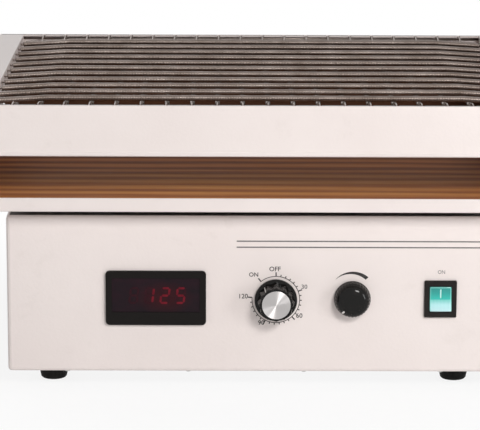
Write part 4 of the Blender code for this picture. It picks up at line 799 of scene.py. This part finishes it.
def long_springs(material):
    for number in range(1, LONG_COUNT + 1):
        name = f"long_spring_{number:02d}"
        low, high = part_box(name)
        radius = (high.y - low.y) / 2 / OCTAGON_SHARE
        y = (low.y + high.y) / 2
        level = high.z - radius
        wobble = math.sin(number * 2.3)

        def centre_at(x, y=y, level=level, wobble=wobble):
            ends = math.cos(x / LONG_END * math.pi / 2)
            sway = LONG_SWAY * math.sin(x * 19 + wobble * 4) * ends
            return Vector((x, y + sway, level - net_fall(x))), Vector((0, 1, 0))

        mesh = bmesh.new()
        crease(mesh, add_coil(mesh, -LONG_END, LONG_END, radius, centre_at))
        hook = hook_end(LONG_END, level - DIP, LIP_OUTER + WIRE + LIP_ROOM)
        for side in (-1, 1):
            add_rod(mesh, [(side * x, y, z) for x, z in hook], WIRE)
        finish_springs(f"wound_spring_{number:02d}", mesh, material, name)


def cross_springs(material):
    net_low, net_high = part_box("cross_spring_net")
    long_low, long_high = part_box(f"long_spring_{(LONG_COUNT + 1) // 2:02d}")
    outer_low, outer_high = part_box(f"long_spring_{LONG_COUNT:02d}")
    half = (long_high.y - long_low.y) / 2
    level = long_high.z - half - half / OCTAGON_SHARE - FIT - CROSS_RADIUS
    hook_level = net_high.z - WIRE
    anchor_y = net_high.y - ANCHOR
    anchor_level = long_high.z - half - DIP
    pitch = 2 * LIP_OUTER / (CROSS_COUNT + 1)
    body_end = (outer_low.y + outer_high.y) / 2 - CROSS_END_ROOM
    mesh = bmesh.new()
    for number in range(CROSS_COUNT):
        x = (number - (CROSS_COUNT - 1) / 2) * pitch
        here = level - net_fall(x)
        lean = math.sin(number * 1.7)

        def centre_at(y, x=x, here=here, lean=lean):
            ends = math.cos(y / body_end * math.pi / 2)
            sway = CROSS_SWAY * math.sin(y * 23 + lean * 3) * ends
            return Vector((x + sway, y, here)), Vector((1, 0, 0))

        crease(mesh, add_coil(mesh, -body_end, body_end, CROSS_RADIUS, centre_at))
        hook = [
            (body_end - SHOULDER, here),
            (body_end + SHOULDER, here),
            (body_end + CROSS_RISE - 1 * MM, hook_level - 0.25 * MM),
            (body_end + CROSS_RISE + 1 * MM, hook_level),
            (anchor_y - 1.6 * MM, hook_level),
            (anchor_y - 0.5 * MM, hook_level - 0.35 * MM),
            (anchor_y, hook_level - 1.5 * MM),
            (anchor_y, anchor_level),
        ]
        for side in (-1, 1):
            add_rod(mesh, [(x, side * y, z) for y, z in hook], WIRE)
    for side in (-1, 1):
        ends = [(x, side * anchor_y, anchor_level) for x in (net_low.x, net_high.x)]
        add_rod(mesh, ends, ANCHOR)
    finish_springs("wound_cross_springs", mesh, material, "cross_spring_net")


# Print on the front panel


def words(name, text, x, z, height, material, bold=0.0, width=1.0):
    """Plain sans lettering that stands a print's thickness proud of the front panel."""
    data = bpy.data.curves.new(name, "FONT")
    data.body = text
    data.size = height / CAPITAL_SHARE
    data.align_x = "CENTER"
    data.align_y = "CENTER"
    data.extrude = PRINT / 2
    data.offset = bold
    data.resolution_u = 3
    data.materials.append(material)
    made = linked(name, data)
    made.rotation_euler = (math.pi / 2, 0, 0)
    made.scale = (width, 1, 1)
    made.location = (x, PANEL_FACE - PRINT / 2, z)
    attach(made, "base")


def timer_marks(ink, grey, front, back):
    """Ring, ticks and numbers round the timer's dial."""
    centre = centre_of("timer_knob")
    mesh = bmesh.new()
    ring = [arc_points(centre, TIMER_ON_DEG, TIMER_END_DEG, reach, RING_STEPS) for reach in RING]
    add_strip(mesh, *ring, front, back)
    for number in range(TICKS + 1):
        outer, width = TICK if number % MAIN_TICK_EVERY else MAIN_TICK
        add_tick(mesh, centre, TIMER_END_DEG * number / TICKS, TICK_START, outer, width, front, back)
    add_tick(mesh, centre, TIMER_ON_DEG, RING[0], *MAIN_TICK, front, back)
    finish_mesh("timer_scale", mesh, ink, "base")
    for text, x, z, height in TIMER_MARKS_MM:
        place = (centre[0] + x * MM, centre[1] + z * MM)
        tone = grey if text == "30" else ink
        words(f"timer_mark_{text.lower()}", text, *place, height * MM, tone, MARK_BOLD)


def speed_band(ink, front, back):
    """The tapered band over the speed knob, between two arcs whose centres lie a little apart."""
    x, z = centre_of("speed_knob")
    arcs = []
    for right, up, start_deg, end_deg, radius in SPEED_BAND_MM:
        middle = (x + right * MM, z + up * MM)
        arcs.append(arc_points(middle, start_deg, end_deg, radius * MM, BAND_STEPS))
    mesh = bmesh.new()
    add_strip(mesh, *arcs, front, back)
    finish_mesh("speed_scale", mesh, ink, "base")


def panel_print(ink, grey):
    front = PANEL_FACE - PRINT
    back = PANEL_FACE + PRINT_SEAT
    right = CASE_HIGH.x - STRIPE_EDGE_ROOM
    for name, middle in STRIPES_MM:
        low = middle * MM - STRIPE_WIDTH / 2
        high = middle * MM + STRIPE_WIDTH / 2
        mesh = bmesh.new()
        outline = [(STRIPE_LEFT, low), (right, low), (right, high), (STRIPE_LEFT, high)]
        add_plate(mesh, outline, front, back)
        finish_mesh(name, mesh, grey, "base")
    timer_marks(ink, grey, front, back)
    speed_band(ink, front, back)
    x = centre_of("switch_housing")[0] + SWITCH_MARK_SHIFT
    words("switch_mark_on", "ON", x, SWITCH_MARK_LEVEL, SWITCH_MARK_HEIGHT, grey, width=0.9)


def add_digit(mesh, mark, x, front, back):
    """Seven-segment strokes, leaning as such displays do."""
    wide, high = ((size - STROKE) / 2 for size in DIGIT_SIZE)
    corners = {
        "a": ((-wide, high), (wide, high)),
        "b": ((wide, high), (wide, 0)),
        "c": ((wide, 0), (wide, -high)),
        "d": ((-wide, -high), (wide, -high)),
        "e": ((-wide, 0), (-wide, -high)),
        "f": ((-wide, high), (-wide, 0)),
        "g": ((-wide, 0), (wide, 0)),
    }
    for letter in SEGMENTS[mark]:
        start, end = (Vector(point) for point in corners[letter])
        along = (end - start).normalized()
        across = Vector((-along.y, along.x)) * STROKE / 2
        first = start + along * STROKE_GAP
        last = end - along * STROKE_GAP
        taper = along * STROKE / 2
        outline = [first, first + taper + across, last - taper + across, last]
        outline += [last - taper - across, first + taper - across]
        placed = [(x + point.x + DIGIT_LEAN * point.y, DIGIT_LEVEL + point.y) for point in outline]
        add_plate(mesh, placed, front, back)


def display_digits(lit, unlit):
    """Lit strokes, and behind them the unlit ones of all the digits."""
    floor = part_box("display_window")[0].y + SCREEN_DEPTH
    lit_mesh = bmesh.new()
    dark_mesh = bmesh.new()
    for mark, x in DIGITS_MM:
        add_digit(dark_mesh, "8", x * MM, floor - UNLIT_PROUD, floor + DIGIT_SEAT)
        if mark != "8":
            add_digit(lit_mesh, mark, x * MM, floor - LIT_PROUD, floor + DIGIT_SEAT)
    for name, mesh, material in (("display_lit", lit_mesh, lit), ("display_unlit", dark_mesh, unlit)):
        finish_mesh(name, mesh, material, "base")


# Knobs and rocker


def surface_of(item):
    """An object's surface, for finding the point on it that a line meets."""
    data = item.data
    faces = [face.vertices for face in data.polygons]
    return BVHTree.FromPolygons([vert.co for vert in data.vertices], faces)


def laid_on(name, item, rays, across, sink, proud, material, body):
    """A line laid over an object's surface, through the points where the rays meet it."""
    surface = surface_of(item)
    rings = []
    for start, heading in rays:
        spot, normal, _, _ = surface.ray_cast(start, heading)
        if spot:
            deep = spot - normal * sink
            high = spot + normal * proud
            rings.append([deep - across, deep + across, high + across, high - across])
    mesh = bmesh.new()
    add_loft(mesh, rings)
    finish_mesh(name, mesh, material, body)


def wall_mark(name, knob, node_name, body, pointer, material):
    """A painted line on a knob's wall at a clockwise angle from its top, at depths in front of its back."""
    angle_deg, width, depths_mm = pointer
    x, z = centre_of(node_name)
    out_x, out_z = turned((0, 0), angle_deg, 1)
    outward = Vector((out_x, 0, out_z))
    across = Vector((out_z, 0, -out_x)) * width / 2
    rays = []
    for depth in depths_mm:
        rays.append((Vector((x, KNOB_BACK - depth * MM, z)) + outward * RAY_START, -outward))
    laid_on(name, knob, rays, across, MARK_SINK, MARK_PROUD, material, body)


def fluted_knob(material):
    """The speed knob's moulding with its domed shoulder and fine flutes, inside the solid it stands for."""
    low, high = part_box("speed_knob")
    x, z = centre_of("speed_knob")
    depth = KNOB_BACK - low.y
    full = (high.x - low.x) / 2
    sides = KNOB_FLUTES * FLUTE_SIDES
    hollow = KNOB_BACK - RECESS_DEPTH
    inside = [(high.y, SPINDLE), (hollow, SPINDLE), (hollow, RECESS_RADIUS), (KNOB_BACK, RECESS_RADIUS)]
    profile = [(y, radius / full, 0) for y, radius in inside]
    profile += [(KNOB_BACK - depth * share, reach, cut) for share, reach, cut in KNOB_PROFILE]
    rings = []
    for y, reach, cut in profile:
        ring = []
        for side in range(sides):
            angle = math.tau * side / sides
            radius = full * reach - FLUTE_DEPTH * cut * (1 - math.cos(KNOB_FLUTES * angle)) / 2
            ring.append((x + radius * math.sin(angle), y, z + radius * math.cos(angle)))
        rings.append(ring)
    mesh = bmesh.new()
    add_loft(mesh, rings)
    made = finish_mesh("speed_knob_fluted", mesh, material, "speed_dial", smooth=True)
    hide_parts("speed_knob")
    return made


def rocker_bar(material):
    """The upright line moulded in the rocker's upper half."""
    start_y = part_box("rocker")[0].y - RAY_START
    x, middle = centre_of("rocker")
    rays = []
    for step in range(BAR_STEPS + 1):
        z = middle + BAR_START + BAR_LENGTH * step / BAR_STEPS
        rays.append((Vector((x, start_y, z)), Vector((0, 1, 0))))
    across = Vector((BAR_WIDTH / 2, 0, 0))
    rocker = NODES["rocker"]
    laid_on("rocker_bar", rocker, rays, across, BAR_SINK, BAR_PROUD, material, "switch_rocker")


# Fasteners


def screw_mesh(radius, height, slot_width):
    """A pan head with a cross recess, centred on its seat and facing +Z."""
    spots = [math.tau * side / SCREW_SIDES for side in range(SCREW_SIDES)]
    rings = []
    for step in range(SCREW_STEPS):
        angle = math.radians(90 * step / SCREW_STEPS)
        reach = radius * math.cos(angle)
        rise = height * math.sin(angle)
        rings.append([(reach * math.cos(spot), reach * math.sin(spot), rise) for spot in spots])
    half = slot_width / 2
    reach = radius * CROSS_REACH_SHARE
    cross = []
    for turn in range(4):
        spin = Matrix.Rotation(math.radians(90 * turn), 2)
        cross += [spin @ Vector(point) for point in ((half, half), (half, reach), (-half, reach))]
    levels = [height * share for share in (CROSS_FLOOR_SHARE, CROSS_TOP_SHARE)]
    blanks = []
    for name, loft in (("head", rings), ("cross", [[(*point, z) for point in cross] for z in levels])):
        mesh = bmesh.new()
        add_loft(mesh, loft)
        bmesh.ops.recalc_face_normals(mesh, faces=mesh.faces)
        blanks.append(linked(f"screw_{name}", mesh_data(f"screw_{name}", mesh)))
    head, tool = blanks
    step = head.modifiers.new("cross", "BOOLEAN")
    step.operation = "DIFFERENCE"
    step.object = tool
    bpy.context.view_layer.update()
    graph = bpy.context.evaluated_depsgraph_get()
    made = bpy.data.meshes.new_from_object(head.evaluated_get(graph))
    for blank in blanks:
        bpy.data.objects.remove(blank)
    return made


def screws(name, places, axis, data, material):
    """One piece that holds a screw head at each place, its axis pointing out of the sheet."""
    mesh = bmesh.new()
    aim = Vector((0, 0, 1)).rotation_difference(Vector(axis)).to_matrix().to_4x4()
    for number, place in enumerate(places):
        before = len(mesh.verts)
        mesh.from_mesh(data)
        mesh.verts.ensure_lookup_table()
        spin = Matrix.Rotation(math.radians(SCREW_TURN_DEG * number + SCREW_START_DEG), 4, "Z")
        matrix = Matrix.Translation(place) @ aim @ spin
        for vert in mesh.verts[before:]:
            vert.co = matrix @ vert.co
    finish_mesh(name, mesh, material, "base", smooth=True)


def fasteners(steel):
    head = screw_mesh(*PAN_SCREW)
    small = screw_mesh(*SMALL_SCREW)
    columns, rows = REAR_SCREWS_MM
    rear = [(x * MM, REAR_FACE - SCREW_SEAT, z * MM) for x in columns for z in rows]
    screws("rear_panel_screws", rear, (0, 1, 0), head, steel)
    level = CASE_BOTTOM + SCREW_SEAT
    under = [(x * MM, y * MM, level) for columns, rows in UNDER_SCREWS_MM for x in columns for y in rows]
    screws("bottom_flange_screws", under, (0, 0, -1), small, steel)
    for side, name in ((-1, "side_screws_left"), (1, "side_screws_right")):
        places = [(side * (CASE_HIGH.x - SCREW_SEAT), y * MM, SIDE_SCREW_LEVEL) for y in SIDE_SCREWS_MM]
        screws(name, places, (side, 0, 0), head, steel)
    feet = []
    for name in ("foot_front_left", "foot_front_right", "foot_rear_left", "foot_rear_right"):
        low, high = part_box(name)
        feet.append(((low.x + high.x) / 2, (low.y + high.y) / 2, FOOT_SCREW_LEVEL))
    screws("foot_screws", feet, (0, 0, -1), small, steel)
    for data in (head, small):
        bpy.data.meshes.remove(data)


# Bevelled stand-ins for folded and moulded nodes


def softened(node_name, piece_name, material, body, slot, width, segments):
    """A copy of a node with its sharp edges rounded, which stands for it."""
    data = NODES[node_name].data.copy()
    made = finish_data(piece_name, data, material, body)
    mesh = bmesh.new()
    mesh.from_mesh(data)
    bmesh.ops.remove_doubles(mesh, verts=mesh.verts, dist=MERGE)
    flat = math.radians(FLAT_DEG)
    bmesh.ops.dissolve_limit(mesh, angle_limit=flat, verts=mesh.verts, edges=mesh.edges)
    mesh.to_mesh(data)
    mesh.free()
    step = made.modifiers.new("edges", "BEVEL")
    step.width = width
    step.segments = segments
    step.limit_method = "ANGLE"
    step.angle_limit = math.radians(BEVEL_FROM_DEG)
    data.shade_smooth()
    data.set_sharp_from_angle(angle=math.radians(BEVEL_SHARP_DEG))
    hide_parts(node_name)


# Light, floor and camera


def showing_rays(tree):
    """1 for the rays that show the background itself, 0 for those that light the object."""
    path = node(tree, "ShaderNodeLightPath").outputs
    mirrored = maths(tree, "MAXIMUM", path["Is Glossy Ray"], path["Is Transmission Ray"])
    return maths(tree, "MAXIMUM", path["Is Camera Ray"], mirrored)


def floor():
    """Pale paper, which shows as the white background far from the object and keeps its shadow near it."""
    mesh = bmesh.new()
    bmesh.ops.create_grid(mesh, x_segments=1, y_segments=1, size=FLOOR_HALF)
    data = mesh_data("studio_floor", mesh)
    made = linked("studio_floor", data)
    made.location = (0, 0, -FLOOR_DROP)
    coat, tree, surface = new_material("floor_paper", Roughness=0.9, Specular_IOR_Level=0.1)
    fibre = noise(tree, place_of(tree), 60.0, 3.0)
    joined(tree, surface, Base_Color=cloudy(tree, fibre, (0.9, 0.9, 0.9), (0.93, 0.93, 0.93)))
    glow = node(tree, "ShaderNodeEmission", {"Color": (1, 1, 1, 1), "Strength": 1.0}).outputs[0]
    reach = length_of(tree, place_of(tree))
    white = remap(tree, reach, FLOOR_NEAR, FLOOR_FAR, FLOOR_NEAR_WHITE, 1.0)
    fac = maths(tree, "MULTIPLY", showing_rays(tree), white)
    output = tree.nodes["Material Output"]
    blend = node(tree, "ShaderNodeMixShader", {0: fac, 1: surface.outputs[0], 2: glow})
    tree.links.new(blend.outputs[0], output.inputs["Surface"])
    data.materials.append(coat)


def world():
    made = bpy.data.worlds.new("studio")
    bpy.context.scene.world = made
    made.use_nodes = True
    tree = made.node_tree
    plain = tree.nodes["Background"]
    plain.inputs["Color"].default_value = (*WORLD_TONE, 1.0)
    plain.inputs["Strength"].default_value = WORLD_STRENGTH
    white = node(tree, "ShaderNodeBackground", {"Color": (1, 1, 1, 1), "Strength": 1.0}).outputs[0]
    blend = node(tree, "ShaderNodeMixShader", {0: showing_rays(tree), 1: plain.outputs[0], 2: white})
    tree.links.new(blend.outputs[0], tree.nodes["World Output"].inputs["Surface"])


def area_light(name, place, target, size, power, tone):
    data = bpy.data.lights.new(name, "AREA")
    data.shape = "RECTANGLE"
    data.size, data.size_y = size
    data.energy = power
    data.color = tone
    made = linked(name, data)
    made.location = place
    aim = Vector(target) - Vector(place)
    made.rotation_euler = aim.to_track_quat("-Z", "Y").to_euler()


def camera():
    data = bpy.data.cameras.new("photo_camera")
    data.lens = LENS_MM
    data.sensor_width = SENSOR_MM
    data.sensor_fit = "HORIZONTAL"
    data.clip_end = CAMERA_REACH
    made = linked("photo_camera", data)
    yaw = Matrix.Rotation(math.radians(CAMERA_YAW_DEG), 4, "Z")
    pitch = Matrix.Rotation(math.radians(90 - CAMERA_DOWN_DEG), 4, "X")
    roll = Matrix.Rotation(math.radians(CAMERA_ROLL_DEG), 4, "Z")
    made.matrix_world = Matrix.Translation(CAMERA_PLACE) @ yaw @ pitch @ roll
    bpy.context.scene.camera = made


def dress():
    coat = powder_coat("powder_coat_white")
    finishes = {
        "powder_coat": coat,
        "galvanised_sheet": galvanised(),
        "foot_rubber": rubber("rubber_feet", (0.008, 0.0075, 0.007), 520.0),
        "belt_rubber": rubber("rubber_belt", (0.026, 0.025, 0.025), 300.0),
        "black_phenolic": phenolic(),
        "black_plastic": plastic(),
        "display_filter": display_filter(),
        "spun_aluminium": spun_aluminium(),
        "lit_green": lit_rocker(),
        "varnished_wood": varnished_wood(),
        "spring_steel": spring_steel(),
        "ground_steel": ground_steel("steel_ground", (0.66, 0.66, 0.67), (20.0, 900.0, 900.0), 0.16),
        "cast_aluminium": cast_aluminium(),
        "circuit_board": circuit_board(),
        "motor_enamel": motor_enamel(),
    }
    for item in NODES.values():
        slot = item.data.materials[0].name.split(".")[0]
        item.data.materials.clear()
        item.data.materials.append(finishes[slot])
    # Painted shade: the case's top under the tray and the frames' top flanges are coloured near black where
    # shade falls.
    reach = (PANEL_FACE + CASE_EDGE, REAR_FACE)
    top = powder_coat("powder_coat_case", CASE_HIGH.z, CASE_HIGH.x - CASE_EDGE, reach)
    NODES["base_case"].data.materials[0] = top
    for name in ("frame_front", "frame_rear"):
        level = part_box(name)[1].z
        shaded_coat = powder_coat(f"powder_coat_{name}", level, shade_y=(-FRAME_SKIN, FRAME_SKIN))
        NODES[name].data.materials[0] = shaded_coat
    long_springs(finishes["spring_steel"])
    cross_springs(finishes["spring_steel"])
    for side in ("left", "right"):
        softened(f"side_panel_{side}", f"folded_side_{side}", coat, "tray", "powder_coat", *FOLD_BEVEL)
    softened("rocker", "rocker_lens", finishes["lit_green"], "switch_rocker", "lit_green", *ROCKER_BEVEL)
    ink = panel_ink("ink_black", (0.02, 0.017, 0.017))
    grey = panel_ink("ink_grey", (0.13, 0.12, 0.12))
    panel_print(ink, grey)
    lit = lamp_red("segments_lit", (0.1, 0.007, 0.014), (0.17, 0.012, 0.02))
    # Painted glow: the unlit segments are given a faint red light of their own.
    unlit = lamp_red("segments_unlit", (0.016, 0.0065, 0.0095), (0.022, 0.0075, 0.011))
    display_digits(lit, unlit)
    pale = panel_ink("ink_white", (0.7, 0.68, 0.64))
    knob = fluted_knob(finishes["black_phenolic"])
    wall_mark("speed_pointer", knob, "speed_knob", "speed_dial", SPEED_POINTER, pale)
    wall_mark("timer_pointer", NODES["timer_knob"], "timer_knob", "timer_dial", TIMER_POINTER, pale)
    rocker_bar(panel_ink("rocker_bar_ink", (0.45, 0.86, 0.78)))
    fasteners(ground_steel("steel_screws", (0.6, 0.59, 0.57), (300.0, 300.0, 300.0), 0.24))


bpy.context.scene.view_settings.view_transform = "Standard"
camera()
dress()
floor()
world()
for lamp, settings in LAMPS.items():
    area_light(lamp, *settings)
